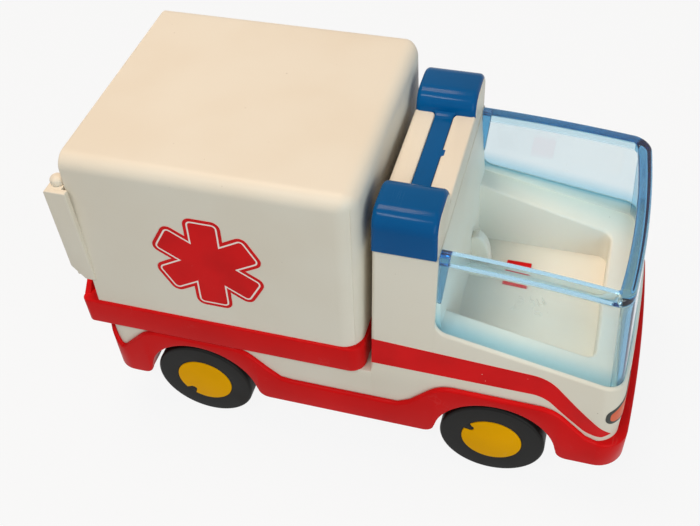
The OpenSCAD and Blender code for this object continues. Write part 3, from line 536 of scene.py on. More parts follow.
def cab_nose():
    """Profile up the outside, over the lip's quarter round, down a slope to the seat of the glass, along the shelf,
    over a rounded edge into the well, to the floor, and back under. Outside heights are levels held between the
    arch edge and the lip, whose own heights are read at the x that the outline has at one level each."""
    t = nose_stations()[:, None]
    x_low, _ = cab_path(t, ARCH_LEVEL)
    x_lip, _ = cab_path(t, LIP_LEVEL)
    low, lip = over_wheels(x_low, BODY_ARCH, BODY_LOW), lip_height(x_lip)
    levels = np.array([BODY_LOW, 34, 40, 45.1, 47, 49, 50.1, 51.2, 53.2, 55.1, 58, 61, 64, 68, 72, 76, 80])
    z = np.clip(levels[None], low, np.maximum(low, lip - LIP_T))
    outside = points_at(*cab_path(t, z), z)
    a = np.linspace(0, np.pi / 2, 9)[None]
    lip_z = lip - LIP_T + LIP_T * np.sin(a)
    over = points_at(*cab_path(t, lip_z, LIP_T - LIP_T * np.cos(a)), lip_z)
    z_foot = np.concatenate([lip - 0.5, seat_height(x_lip)], axis=1)
    shelf_foot = points_at(*cab_path(t, z_foot, np.array([[LIP_T, SEAT_IN]])), z_foot)
    x_edge, _ = well_path(t, LIP_LEVEL)
    b = np.linspace(0, np.pi / 2, 6)[None]
    z_edge = shelf_height(x_edge)
    edge = points_at(*well_path(t, z_edge, -WELL_EDGE * (1 - np.sin(b))), z_edge - WELL_EDGE * (1 - np.cos(b)))
    z_wall = z_edge - WELL_EDGE + (FLOOR - WALL_T - z_edge + WELL_EDGE) * np.linspace(0.2, 1, 5)[None]
    wall = points_at(*well_path(t, z_wall), z_wall)
    z_in = np.concatenate([np.full_like(low, 47.4), np.minimum(np.maximum(low, 40), 47.3), low], axis=1)
    inside = points_at(*cab_path(t, z_in, WALL_T), z_in)
    grid = np.concatenate([outside, over, shelf_foot, edge, wall, inside], axis=1)
    return skin(both_halves(grid), closed=True, caps=(True, True))


def well_floor():
    """Floor of the well: a slab that reaches a little under its walls."""
    corners = [(30, -32.6), (92.4, -32.6), (92.4, 32.6), (30, 32.6)]
    return slab(rounded(corners, [1, 4, 4, 1]), 43.9, FLOOR, 0.2)


RIB_X, RIB_HALF, RIB_HIGH, RIB_Y = 37.8, 6.6, 17.6, (14.4, 19.6)


def seat_rib():
    """Upright rib out of the rear wall: half an ellipse across the length, with softly rounded edges."""
    a = np.linspace(0, np.pi, 41)
    arch = np.stack([RIB_X + RIB_HALF * np.cos(a), FLOOR - 0.2 + RIB_HIGH * np.sin(a)], axis=1)
    foot = [(RIB_X - RIB_HALF, 44.5), (RIB_X + RIB_HALF, 44.5)]
    return slab(np.concatenate([arch, foot]), RIB_Y[0], RIB_Y[1], 1.0, "xz")


body_parts += [cab_nose(), well_floor(), seat_rib()]
cab = moulding("cream_body", body_parts, "vehicle", "cab_body")

# %% [markdown]
# ## Clear blue windscreen
# On the toy, one clear moulding wraps both sides and the front. It stands on the seat behind the lip, and its top
# turns inwards into a thick rim, with a wedge inside each rear end. It is closed, so that light is tinted by the
# thickness it crosses. Here the sides, the front and the wedges are three pieces, because the long way through the
# front and the wedges looks bluer, and each piece can then have its own depth of tint.

# %% Windscreen
RIM_Z, RIM_FALL, RIM_LENGTH, RIM_W, RIM_H = 109.8, 0.087, 68.0, 5.0, 4.5
GLASS_T, GLASS_INSET, GLASS_SPLIT = 1.8, 1.3, 1.3
FOOT_LEVEL, RIM_LEVEL, FOOT_GAP = 66.0, 105.0, 0.15


def rim_height(x):
    """Top of the rim: a line that falls forward a little, arched by 1 mm half way."""
    u = np.clip((x - GLASS_X) / RIM_LENGTH, 0, 1)
    return RIM_Z - RIM_FALL * (x - GLASS_X) + 4 * u * (1 - u)


SIDE_STEPS = np.concatenate([np.linspace(0, 1, 15), np.linspace(1, GLASS_SPLIT, 7)[1:]])
FRONT_STEPS = np.concatenate([np.linspace(GLASS_SPLIT, 2, 15), np.linspace(2, 3, 15)[1:]])


def glass_rows(steps):
    """Right half of a stretch of the wall: a profile of foot, outside, rounded rim, step under the rim and inside,
    carried round the nose."""
    t = steps[:, None]
    x_top, _ = cab_path(t, RIM_LEVEL, GLASS_INSET)
    x_low, _ = cab_path(t, FOOT_LEVEL, GLASS_INSET)
    low, top = seat_height(x_low) + FOOT_GAP, rim_height(x_top)
    a = np.linspace(0, np.pi / 2, 6)
    r, u = 1.3, 0.7
    inset = np.concatenate([np.zeros(4), r * (1 - np.cos(a)), RIM_W - r * (1 - np.sin(a)),
                            RIM_W - u * (1 - np.cos(a)), GLASS_T + u * (1 - np.sin(a)), np.full(3, GLASS_T)])
    drop = np.concatenate([np.zeros(4), r * (1 - np.sin(a)), r * (1 - np.cos(a)), RIM_H - u * (1 - np.sin(a)),
                           RIM_H + u * (1 - np.cos(a)), np.zeros(3)])
    share = np.concatenate([[0, 0.3, 0.6, 0.9], np.ones(24), [0.8, 0.4, 0]])
    z = low + share[None] * (top - low) - drop[None]
    return points_at(*cab_path(t, z, GLASS_INSET + inset[None]), z)


def wedge(s):
    """Tapered rib inside the rear end of the glass, leaning with it."""
    corners = [(33.6, 87.8), (35.0, 87.8), (37.2, 109.4), (33.6, 109.4)]
    points, faces = slab(rounded(corners, 0.5, 4), 0.0, 2.9, 0.4, "xz")
    lean = side(points[:, 2]) - GLASS_INSET - GLASS_T - 0.1
    return np.stack([points[:, 0], s * (lean - points[:, 1]), points[:, 2]], axis=1), faces


near_rows = glass_rows(SIDE_STEPS)
far_rows = near_rows[::-1] * (1.0, -1.0, 1.0)
side_glass = [skin(rows, closed=True, caps=(True, True)) for rows in (near_rows, far_rows)]
windscreen = moulding("windscreen_sides", side_glass, "vehicle", "windscreen")
front_glass = skin(both_halves(glass_rows(FRONT_STEPS)), closed=True, caps=(True, True))
front_pane = moulding("windscreen_front", [front_glass], "vehicle", "windscreen")
wedges = moulding("windscreen_wedges", [wedge(s) for s in SIDES], "vehicle", "windscreen")

# %% [markdown]
# ## Blue light bar
# Two pillow-shaped blocks sit on the shoulders of the cab wall, joined by a strip in a groove. A block is an
# outline in the cross plane pushed along the vehicle. Its edge radius grows from the foot to the top, which gives
# the swollen look of the real one.

# %% Light bar
STRIP_END, STRIP_X, STRIP_Z, SWEEP_FROM, SWEEP = 23.4, (17.8, 24.8), (118.2, 119.5), 19.5, 0.12


def light_block(s):
    """Block outline pushed along the vehicle; the edge radius blends from 0.5 mm at the foot to 2 mm at the top."""
    outline = block_outline(s)
    edge = 0.5 + 1.5 * smooth(outline[:, 1], SHOULDER + 1, SHOULDER + 11)
    return slab(outline, CAB_REAR + 0.05, BLOCK_FRONT, edge, "yz", 8)


def light_strip():
    """Rounded section carried across the cab; its top sweeps up as a parabola where it runs into the blocks, and
    its width follows the panels' rounded corners."""
    y = np.linspace(-STRIP_END, STRIP_END, 95)[:, None]
    (x0, x1), (z0, z1) = STRIP_X, STRIP_Z
    section = rounded([(x0, z0), (x1, z0), (x1, z1), (x0, z1)], [0.2, 0.2, 0.5, 0.5], 5)
    lift = SWEEP * np.maximum(0, np.abs(y) - SWEEP_FROM) ** 2
    z = section[None, :, 1] + lift * (section[None, :, 1] > z1 - 0.5)
    past = np.clip((np.abs(y) - PANEL_END + PANEL_ROUND) / PANEL_ROUND, 0, 1)
    flare = PANEL_ROUND * (1 - np.sqrt(1 - past ** 2))
    x = section[None, :, 0] + flare * np.sign(section[None, :, 0] - (x0 + x1) / 2)
    return skin(points_at(x, y, z), closed=True, caps=(True, True))


light_parts = [light_block(s) for s in SIDES] + [light_strip(), bar((24, 26.3), (-2, 2), (117.5, 119.62), 0.4)]
light_bar = moulding("blue_light_bar", light_parts, "vehicle", "light_bar")

# %% [markdown]
# ## Red tray and cream box
# The tray is an upturned pan with a sill at its rear. The box stands on it: drafted sides, a rounded roof and
# rounded front corners. The box is one surface: an arch carried from the middle of the front, over the edge, along
# the roof, round the rear frame and back along the inside, so its walls have a real thickness.

# %% Tray
TRAY_REAR, TRAY_FRONT, TRAY_HALF, TRAY_TOP = -110.8, 7.0, 55.2, 63.4


def tray_pan():
    """Upturned pan: the outline goes from the underside down the inside, round the rim and up to a rounded top."""
    corners = [(TRAY_REAR, -TRAY_HALF), (TRAY_FRONT, -TRAY_HALF), (TRAY_FRONT, TRAY_HALF), (TRAY_REAR, TRAY_HALF)]
    outline = rounded(corners, [2.6, 6, 6, 2.6], 11)
    a = np.linspace(0, np.pi / 2, 6)
    inset = np.concatenate([[2.5, 2.5, 2.2], 0.4 * (1 - np.sin(a)), 0.9 * (1 - np.cos(a))])[:, None]
    z = np.concatenate([[60.9, DECK + 0.5, DECK], DECK + 0.4 * (1 - np.cos(a)), TRAY_TOP - 0.9 * (1 - np.sin(a))])
    flat = outline[None] - outward(outline)[None] * inset[..., None]
    grid = np.concatenate([flat, np.broadcast_to(z[:, None, None], flat.shape[:2] + (1,))], axis=2)
    return skin(grid, closed=True, caps=(True, True))


def tray_sill():
    """Low wall across the rear, with sloped ends."""
    corners = [(-53, 62.6), (53, 62.6), (47, 68.3), (-47, 68.3)]
    return slab(rounded(corners, [0.5, 0.5, 1.2, 1.2]), TRAY_REAR, TRAY_REAR + 2.6, 0.7, "yz")


tray_parts = [tray_pan(), tray_sill()]
tray_parts += [bar((-99.2, -1.9), sorted((s * 49.8, s * 51.6)), (62.5, 66.4), 0.3) for s in SIDES]
tray_parts += [bar((-95, 1), (s * 40 - 1, s * 40 + 1), (DECK, 61.5), 0.2) for s in SIDES]
tray = moulding("red_tray", tray_parts, "vehicle", "tray")

# %% Box
BOX_REAR, BOX_FRONT, BOX_HALF, BOX_DRAFT, ROOF, BOX_T = -103.6, 6.1, 54.1, 0.06, 135.0, 2.2
ROOF_ROUND, BOX_ROUND, DOORWAY_HALF, DOORWAY_TOP = 6.0, 8.0, 43.0, 115.4
BOX_FOOT = TRAY_TOP + 0.04


def box_half(z):
    """Half width of the box: it narrows with height by the draft."""
    return BOX_HALF - BOX_DRAFT * (z - TRAY_TOP)


def box_arch(inset, x):
    """Right half of the arch across the box: up the drafted side, round the roof edge, to the roof's middle. The
    inset may differ for side and roof."""
    top = ROOF - inset[1]
    r = max(0.8, ROOF_ROUND - inset[1])
    z_side = np.linspace(BOX_FOOT, top - r, 15)
    a = np.linspace(0, np.pi / 2, 13)[1:]
    half_top = box_half(top - r) - inset[0]
    to_middle = np.linspace(1, 0, 13)[1:]
    y = np.concatenate([box_half(z_side) - inset[0], half_top - r + r * np.cos(a), (half_top - r) * to_middle])
    z = np.concatenate([z_side, top - r + r * np.sin(a), np.full(12, top)])
    return np.stack([np.full(len(y), x), -y, z], axis=-1)


def doorway(x, grow=0.0):
    """Right half of the doorway's outline with the arch's stations: up the jamb and along the lintel."""
    z = np.concatenate([np.linspace(BOX_FOOT, DOORWAY_TOP + grow, 15), np.full(24, DOORWAY_TOP + grow)])
    y = np.concatenate([np.full(15, DOORWAY_HALF + grow), np.linspace(DOORWAY_HALF + grow, 0, 25)[1:]])
    return np.stack([np.full(len(y), x), -y, z], axis=-1)


def box_walls():
    """Arches from a pole at the foot of the front to the rear frame and back inside. At the front the insets follow
    quarter rounds: r (1 - cos a) inwards for r (1 - sin a) back."""
    a = np.linspace(0, np.pi / 2, 11)
    rows = [box_arch((BOX_ROUND * (1 - np.sin(b)), ROOF_ROUND * (1 - np.sin(b))), BOX_FRONT) for b in a]
    outer = np.stack(rows)
    on_roof = smooth(outer[..., 2], ROOF - ROOF_ROUND, ROOF)
    radius = BOX_ROUND + (ROOF_ROUND - BOX_ROUND) * on_roof
    outer[..., 0] = BOX_FRONT - radius * (1 - np.cos(a))[:, None]
    middle = np.array([BOX_FRONT, 0.0, BOX_FOOT])
    face = middle + (outer[0] - middle)[None] * np.linspace(0, 1, 7)[:-1, None, None]
    along = np.stack([box_arch((0, 0), x) for x in np.linspace(BOX_FRONT - 12, BOX_REAR + 0.8, 12)])
    rear = np.stack([box_arch((0.6 * (1 - np.sin(b)),) * 2, BOX_REAR + 0.6 * (1 - np.cos(b))) for b in a[::-2]])
    frame_rows = np.stack([doorway(BOX_REAR, 0.4), doorway(BOX_REAR + 0.4), doorway(BOX_REAR + BOX_T)])
    inside = np.stack([box_arch((BOX_T, BOX_T), x) for x in (BOX_REAR + BOX_T, -50.0, BOX_FRONT - BOX_T)])
    inner_middle = np.array([BOX_FRONT - BOX_T, 0.0, BOX_FOOT])
    inner_face = inner_middle + (inside[-1] - inner_middle)[None] * np.linspace(1, 0, 5)[1:, None, None]
    right = np.concatenate([face, outer, along, rear, frame_rows, inside, inner_face])
    left = right[:, ::-1][:, 1:] * (1.0, -1.0, 1.0)
    grid = np.concatenate([right, left], axis=1)
    points, faces = skin(grid)
    rows, cols = grid.shape[:2]
    index = np.arange(rows * cols).reshape(rows, cols)
    return points, faces + [index[:, 0].tolist(), index[::-1, -1].tolist()]


EAR_OUT, EAR_IN, EAR_LOW, EAR_HIGH, PIN_X, PIN_Y = 54.2, 51.6, 75.4, 121.7, -107.0, 48.2


def hinge_ear(s):
    """Upright plate behind the box's corner, bevelled below, and two round-ended lugs for the pin."""
    corners = [(-110.4, 82.0), (-105.8, EAR_LOW), (-101.6, EAR_LOW), (-101.6, EAR_HIGH), (-110.4, EAR_HIGH)]
    y = sorted((s * EAR_IN, s * EAR_OUT))
    parts = [slab(rounded(corners, [1.2, 1.2, 0.5, 0.5, 1.0]), y[0], y[1], 0.45, "xz")]
    lug = np.array([(PIN_X - 3, 45.2), (PIN_X + 3, 45.2), (PIN_X + 3, 52.4), (PIN_X - 3, 52.4)])
    for z in (EAR_LOW + 0.02, EAR_HIGH - 4.22):
        parts.append(slab(rounded(lug * (1, s), [2.9, 2.9, 0.4, 0.4], 9), z, z + 4.2, 0.3))
    return parts


box = moulding("cream_box", [box_walls(), *hinge_ear(-1), *hinge_ear(1)], "vehicle", "box_shell")

# %% [markdown]
# ## Rear doors and their pins
# Each door is a leaf with a barrel that turns on a pin, and a small grip. The rear isn't in the photograph,
# so these are kept plain. The pin's domed head is seen above the ear.

# %% Doors and pins
LEAF_X, LEAF_Z, BARREL_Z = (-106.8, -104.2), (69.1, 120.9), (80.0, 117.1)


def door_leaf(s):
    """Leaf with rounded edges, a web to the barrel, the hollow barrel, and a grip near the free edge."""
    corners = np.array([(0.4, LEAF_Z[0]), (44.4, LEAF_Z[0]), (44.4, LEAF_Z[1]), (0.4, LEAF_Z[1])])
    parts = [slab(rounded(corners * (s, 1), 2.0), LEAF_X[0], LEAF_X[1], 0.6, "yz")]
    web = np.array([(43.5, BARREL_Z[0]), (46.0, BARREL_Z[0]), (46.0, BARREL_Z[1]), (43.5, BARREL_Z[1])])
    parts.append(slab(rounded(web * (s, 1), 0.4), LEAF_X[0] + 0.2, LEAF_X[1] - 0.2, 0.3, "yz"))
    ring = rounded([(1.56, BARREL_Z[0]), (3, BARREL_Z[0]), (3, BARREL_Z[1]), (1.56, BARREL_Z[1])], 0.3, 4)
    parts.append(turned(ring, (PIN_X, s * PIN_Y), "z", 48))
    grip = np.array([(4, 87), (7, 87), (7, 103), (4, 103)])
    parts.append(slab(rounded(grip * (s, 1), 1.45), -109.2, -106.5, 0.9, "yz"))
    return parts


def hinge_pin(s):
    """Straight shank and a head that ends in a flat dome, turned about the hinge line."""
    a = np.linspace(0, np.pi / 2, 10)
    dome = np.stack([2.8 * np.cos(a), EAR_HIGH + 1.2 + 2.0 * np.sin(a)], axis=1)
    foot = [(0, EAR_LOW), (1.3, EAR_LOW), (1.5, EAR_LOW + 0.2), (1.5, EAR_HIGH + 0.03), (2.6, EAR_HIGH + 0.03),
            (2.8, EAR_HIGH + 0.25)]
    return turned(np.concatenate([foot, dome]), (PIN_X, s * PIN_Y), "z", 48, closed=False)


doors = [moulding("cream_door_" + SIDE_NAMES[s], door_leaf(s), SIDE_NAMES[s] + "_door",
                  "rear_door_" + SIDE_NAMES[s]) for s in SIDES]
pins = [moulding("hinge_pin_" + SIDE_NAMES[s] + "_head", [hinge_pin(s)], "vehicle", "hinge_pin_" + SIDE_NAMES[s]) for s in SIDES]

# %% [markdown]
# ## Wheels
# A tyre is a soft ring with a flat side wall and a round shoulder. The hub is a flat disc with a short slot in its
# edge, where a tongue of the tyre shows. The disc is an outline of a large arc and the slot's round end, pushed
# through a thickness, and the rest is turned.

# %% Wheels
TYRE_IN, TYRE_OUT, TYRE_R, TYRE_BORE, HUB_R, HUB_FACE, BOSS_R = 38.9, 53.9, 21.0, 12.05, 12.0, 54.2, 11.9
SLOT_HALF, SLOT_MOUTH, SLOT_END, SLOT_DEPTH, SLOT_PLAY, TONGUE_R = 1.65, 2.3, 10.4, 1.4, 0.12, 12.3
SLOT_TURN = {"front": 148.0, "rear": 230.0}


def turned_flat(flat, angle):
    """Flat points turned about the axle by an angle in degrees."""
    c, s = math.cos(math.radians(angle)), math.sin(math.radians(angle))
    return flat @ np.array([[c, s], [-s, c]])


def slot_end(half):
    """Half circle at the inner end of the hub's slot, from its lower side round to its upper side."""
    b = np.linspace(1.5 * np.pi, 0.5 * np.pi, 21)
    return np.array([SLOT_END, 0]) + half * np.stack([np.cos(b), np.sin(b)], axis=1)


def hub_parts(x, s, angle):
    """Disc with a round-ended slot in its edge at the face, over a turned boss."""
    open_half = math.asin(SLOT_MOUTH / HUB_R)
    a = np.linspace(open_half, 2 * np.pi - open_half, 97)
    rim = HUB_R * np.stack([np.cos(a), np.sin(a)], axis=1)
    outline = turned_flat(np.concatenate([rim, slot_end(SLOT_HALF)]), angle) + (x, AXLE_Z)
    y = sorted((s * HUB_FACE, s * (HUB_FACE - SLOT_DEPTH)))
    boss_face = HUB_FACE - SLOT_DEPTH + 0.2
    boss = np.array([(0, TYRE_IN), (6, TYRE_IN), (6, TYRE_IN + 1), (BOSS_R, TYRE_IN + 1), (BOSS_R, boss_face),
                     (0, boss_face)]) * (1, s)
    return [slab(outline, y[0], y[1], 0.3, "xz"), turned(boss, (x, AXLE_Z), "y", 64, closed=False)]


def tyre_parts(x, s, angle):
    """Rounded ring, and the tongue that sits in the hub's slot."""
    corners = [(TYRE_BORE, TYRE_IN), (TYRE_R, TYRE_IN), (TYRE_R, TYRE_OUT), (TYRE_BORE, TYRE_OUT)]
    ring = turned(rounded(np.array(corners) * (1, s), [0.4, 3, 1.2, 0.4], 12), (x, AXLE_Z), "y", 128)
    mouth = SLOT_MOUTH - SLOT_PLAY
    tongue = np.concatenate([[(TONGUE_R, mouth), (TONGUE_R, -mouth)], slot_end(SLOT_HALF - SLOT_PLAY)])
    y = sorted((s * (HUB_FACE - 0.3), s * (HUB_FACE - 1.5)))
    return [ring, slab(turned_flat(tongue, angle) + (x, AXLE_Z), y[0], y[1], 0.2, "xz")]


hubs, tyres = [], []
for end, axle_x in zip(("front", "rear"), AXLE_X):
    for s in SIDES:
        tail, body = end + "_" + SIDE_NAMES[s], end + "_wheels"
        where = (axle_x, s, SLOT_TURN[end])
        hubs.append(moulding("yellow_hub_" + tail, hub_parts(*where), body, "hub_" + tail))
        tyres.append(moulding("black_tyre_" + tail, tyre_parts(*where), body, "tyre_" + tail))

# %% [markdown]
# ## Labels
# The star, the stripe and the indicator are printed films. Each is a thin sheet laid on its wall by the wall's own
# formula. The distance from the film's edge is kept on its points as an attribute, so that a finish can draw a
# thin line that follows the outline.

# %% Film helper
FILM_T = 0.16


def film(name, flat, edge_distance, wall, node):
    """Thin sheet: a grid of wall coordinates laid at the film's thickness, with its border turned down to the
    wall. The rows of the grid run round the outline, from the edge to the middle."""
    outer = wall(flat, FILM_T)
    rim = wall(flat[:1], 0.02)
    points, faces = skin(np.concatenate([rim, outer]), closed=True)
    mesh = bpy.data.meshes.new(name)
    mesh.from_pydata((points * MM).tolist(), [], faces)
    values = np.concatenate([edge_distance[:1], edge_distance]).ravel()
    mesh.attributes.new("edge_distance", "FLOAT", "POINT").data.foreach_set("value", values.astype(np.float32))
    shape = bmesh.new()
    shape.from_mesh(mesh)
    bmesh.ops.remove_doubles(shape, verts=shape.verts, dist=1e-6)
    shape.to_mesh(mesh)
    shape.free()
    return piece_of(name, mesh, "vehicle", node)


print("films are", FILM_T, "mm thick")

# %% Star
STAR_X, STAR_Z, ARM, ARM_HALF, TIP_R = -51.15, 95.0, 21.8, 7.3, 3.3


def star_outline(inset):
    """Six arms: each runs from the corner between arms along its edge, round the tip's two arcs and back, and is
    turned by steps of a sixth."""
    w, end, r = ARM_HALF - inset, ARM - inset, max(0.3, TIP_R - inset)
    a = np.linspace(-np.pi / 2, 0, 6)
    run = np.linspace(w / math.tan(math.pi / 6), end - r, 8)[:-1]
    low = np.concatenate([np.stack([run, np.full(7, -w)], axis=1),
                          np.stack([end - r + r * np.cos(a), -w + r + r * np.sin(a)], axis=1)])
    arm = np.concatenate([low, (low * (1, -1))[::-1][:-1]])
    turn = np.radians(90 + 60 * np.arange(6))[:, None]
    u = np.cos(turn) * arm[:, 0] - np.sin(turn) * arm[:, 1]
    v = np.sin(turn) * arm[:, 0] + np.cos(turn) * arm[:, 1]
    return np.stack([u.ravel(), v.ravel()], axis=1)


def box_side(s):
    """Wall coordinates to the box's drafted side: x and z stay, and y is the half width and the lift."""
    return lambda flat, lift: np.stack([flat[..., 0], s * (box_half(flat[..., 1]) + lift), flat[..., 1]], axis=-1)


star_insets = np.array([0.0, 0.4, 0.8, 1.2, 1.4, 1.8, 2.0, 2.6, 3.4, 4.4, 5.6])
star_rows = np.stack([star_outline(d) for d in star_insets])
star_rows = np.concatenate([star_rows, star_rows[-1:] * 0.5, star_rows[-1:] * 0.0])
star_depth = np.concatenate([star_insets, [6.2, 6.8]])[:, None] + np.zeros(star_rows.shape[:2])
stars = [film("star_label_" + SIDE_NAMES[s], star_rows + (STAR_X, STAR_Z), star_depth, box_side(s),
              "medical_star_" + SIDE_NAMES[s]) for s in SIDES]

# %% [markdown]
# ## Stripe and indicator
# The stripe starts at the cab's rear edge and drops towards the front wheel arch. The indicator is a
# teardrop that wraps round the front corner. Both are drawn on the unrolled cab side: the first coordinate is the
# length along the outline, and the second is the height.

# %% Unrolled cab side
CORNER = CAB_ROUND * np.pi / 2


def unrolled(s):
    """Unrolled cab side to space: length along the flat side, then along the corner's arc, then across the front."""
    def lay(flat, lift):
        length, z = flat[..., 0], flat[..., 1]
        flat_end = NOSE - FRONT_LEAN * rise(z) - CAB_ROUND - BOW
        past = length - flat_end
        front_half = side(z) - CAB_ROUND
        t = np.where(past < 0, (length - CAB_REAR) / (flat_end - CAB_REAR), 1 + np.clip(past / CORNER, 0, 1)
                     + np.clip((past - CORNER) / front_half, 0, 1))
        x, y = cab_path(t, z, -lift, CAB_REAR)
        return points_at(x, -s * y, z)
    return lay


print("the cab's corner is", round(CORNER, 1), "mm long when unrolled")

# %% Stripe
STRIPE_TOP = np.array([(10.0, 67.6), (76.8, 64.4), (99.4, 41.6), (102.8, 38.2)])
STRIPE_FOOT = np.array([(10.0, 55.6), (76.2, 55.2), (93.2, 38.8), (99.2, 36.9), (102.8, 38.2)])
STRIPE_REAR, STRIPE_TIP = STRIPE_TOP[0, 0], STRIPE_TOP[-1, 0]


def stripe_ring():
    """Rows from the outline to the stripe's middle: along the lower edge and back along the upper one, each row a
    share of the way from the edge to the middle height at the same length."""
    x = np.concatenate([np.linspace(STRIPE_REAR, 67, 30), np.linspace(68, STRIPE_TIP, 107)])
    top, foot = soft_line(x, STRIPE_TOP, [6.0, 1.2]), soft_line(x, STRIPE_FOOT, [5.0, 2.5, 1.2])
    middle = (top + foot) / 2
    edge = np.stack([np.concatenate([x, x[::-1]]), np.concatenate([foot, top[::-1]])], axis=1)
    core = np.stack([edge[:, 0], np.concatenate([middle, middle[::-1]])], axis=1)
    share = np.array([0, 0.05, 0.3, 0.65, 1.0])[:, None, None]
    rows = edge + (core - edge) * share
    return rows, np.abs(rows[..., 1] - edge[None, :, 1])


stripe_rows, stripe_depth = stripe_ring()
stripes = [film("cab_stripe_" + SIDE_NAMES[s] + "_film", stripe_rows, stripe_depth, unrolled(s),
                "cab_stripe_" + SIDE_NAMES[s]) for s in SIDES]

# %% Indicator
LAMP = np.array([(99.3, 45.0), (119.0, 45.0), (119.0, 58.6), (110.4, 57.6), (99.3, 52.0)])
LAMP_ROUNDS = [3.8, 2.6, 2.6, 5.0, 3.0]
LAMP_CORE = np.array([(103.0, 50.2), (115.5, 57.0)])
LAMP_INSETS = np.array([0.0, 0.4, 0.8, 1.2, 1.6, 2.0, 2.3])


def even(outline, count):
    """Outline resampled at even steps of its length."""
    closed = np.concatenate([outline, outline[:1]])
    run = np.concatenate([[0], np.cumsum(np.linalg.norm(np.diff(closed, axis=0), axis=1))])
    at = np.linspace(0, run[-1], count, endpoint=False)
    return np.stack([np.interp(at, run, closed[:, i]) for i in range(2)], axis=1)


def nearest_on(points, line):
    """For each point, the closest point of a line of straight legs."""
    a, d = line[:-1], np.diff(line, axis=0)
    t = np.clip(((points[:, None] - a) * d).sum(-1) / (d * d).sum(-1), 0, 1)[..., None]
    spot = a + t * d
    best = np.argmin(np.linalg.norm(points[:, None] - spot, axis=-1), axis=1)
    return spot[np.arange(len(points)), best]


def ring_rows(outline, insets, middle):
    """Rows of an outline drawn in towards a middle line, and the depth of each row."""
    normal = outward(outline)
    inner = [outline + (middle - outline) * 0.9, middle + 0 * outline]
    rows = np.stack([outline - normal * d for d in insets] + inner)
    depth = np.concatenate([insets, [insets[-1] + 1, insets[-1] + 2]])[:, None] + np.zeros(rows.shape[:2])
    return rows, depth


lamp_line = even(rounded(LAMP, LAMP_ROUNDS, 9), 200)
lamp_rows, lamp_depth = ring_rows(lamp_line, LAMP_INSETS, nearest_on(lamp_line, LAMP_CORE))
lamp_depth = lamp_depth * np.interp(lamp_rows[..., 0], [99.5, 105.5], [0.8, 1.9])
lamps = [film("indicator_" + SIDE_NAMES[s] + "_film", lamp_rows, lamp_depth, unrolled(s),
              "indicator_" + SIDE_NAMES[s]) for s in SIDES]

# %% [markdown]
# ## Writing finishes as expressions
# A finish is a small network of nodes. Wiring it by hand hides the idea, so one class wraps a socket: sums and
# products of wrapped sockets add Math nodes, vectors go through Vector Math, and any other node comes from one
# method. A mask such as 1 - dirt then reads as it is meant.

# %% Sockets as values


class Wire:
    """A socket of a material's nodes, with arithmetic."""

    def __init__(self, tree, socket):
        self.tree, self.socket = tree, socket

    def node(self, kind, settings=None, inputs=None, out=0):
        """Adds a node: settings first, then a value or a link for each named socket. A ramp's stops are a list."""
        made = self.tree.nodes.new(kind)
        for key, value in (settings or {}).items():
            if key == "stops":
                ramp = made.color_ramp.elements
                while len(ramp) < len(value):
                    ramp.new(0.5)
                for stop, (place, colour) in zip(ramp, value):
                    stop.position, stop.color = place, colour
            else:
                setattr(made, key, value)
        for key, value in (inputs or {}).items():
            if isinstance(value, Wire):
                self.tree.links.new(value.socket, made.inputs[key])
            else:
                made.inputs[key].default_value = value
        return Wire(self.tree, made.outputs[out])

    def math(self, operation, a, b):
        """Math node for a plain value, and Vector Math for the rest, where a number stands for all three parts."""
        if self.socket.type == "VALUE":
            return self.node("ShaderNodeMath", {"operation": operation}, {0: a, 1: b})
        a, b = ((v if isinstance(v, (Wire, tuple)) else (v, v, v)) for v in (a, b))
        return self.node("ShaderNodeVectorMath", {"operation": operation}, {0: a, 1: b})

    def __add__(self, other):
        return self.math("ADD", self, other)

    def __sub__(self, other):
        return self.math("SUBTRACT", self, other)

    def __mul__(self, other):
        return self.math("MULTIPLY", self, other)

    def __radd__(self, other):
        return self.math("ADD", other, self)

    def __rsub__(self, other):
        return self.math("SUBTRACT", other, self)

    def __rmul__(self, other):
        return self.math("MULTIPLY", other, self)

    def step(self, low, high):
        """Blend from 0 at low to 1 at high."""
        return self.node("ShaderNodeMapRange", {"interpolation_type": "SMOOTHSTEP"},
                         {"Value": self, "From Min": low, "From Max": high})

    def mix(self, colour, other):
        """Colour where this mask is 0, and the other where it is 1."""
        return self.node("ShaderNodeMix", {"data_type": "RGBA"}, {0: self, 6: colour, 7: other}, 2)

    def noise(self, scale, detail=3.0, stretch=(1, 1, 1), turn=(0, 0, 0)):
        """Cloudy value over these coordinates, at a number of clouds per metre."""
        place = self.node("ShaderNodeMapping", {}, {"Vector": self, "Rotation": turn, "Scale": stretch})
        return self.node("ShaderNodeTexNoise", {}, {"Vector": place, "Scale": scale, "Detail": detail})

    def specks(self, scale, size):
        """1 in scattered small dots of that radius, in cells of one over the scale."""
        far = self.node("ShaderNodeTexVoronoi", {}, {"Vector": self, "Scale": scale})
        return 1 - far.step(size * 0.7, size)

    def scratches(self, scale, turn, width=0.02):
        """1 along thin lines: where a stretched noise passes its middle value."""
        past = self.noise(scale, 2.0, (1, 0.06, 1), turn) - 0.5
        return 1 - past.node("ShaderNodeMath", {"operation": "ABSOLUTE"}, {0: past}).step(0, width)


def finish(name, paint, **constants):
    """Material with one Principled shader: the paint function gets the Object coordinates and returns links, and
    the constants go straight on to the shader's sockets."""
    made = bpy.data.materials.new(name)
    made.use_nodes = True
    tree = made.node_tree
    shader = tree.nodes["Principled BSDF"]
    place = Wire(tree, tree.nodes.new("ShaderNodeTexCoord").outputs["Object"])
    for key, value in constants.items():
        shader.inputs[key.replace("_", " ")].default_value = value
    for key, value in paint(place).items():
        tree.links.new(value.socket, shader.inputs[key])
    print(name, "has", len(tree.nodes), "nodes")
    return made


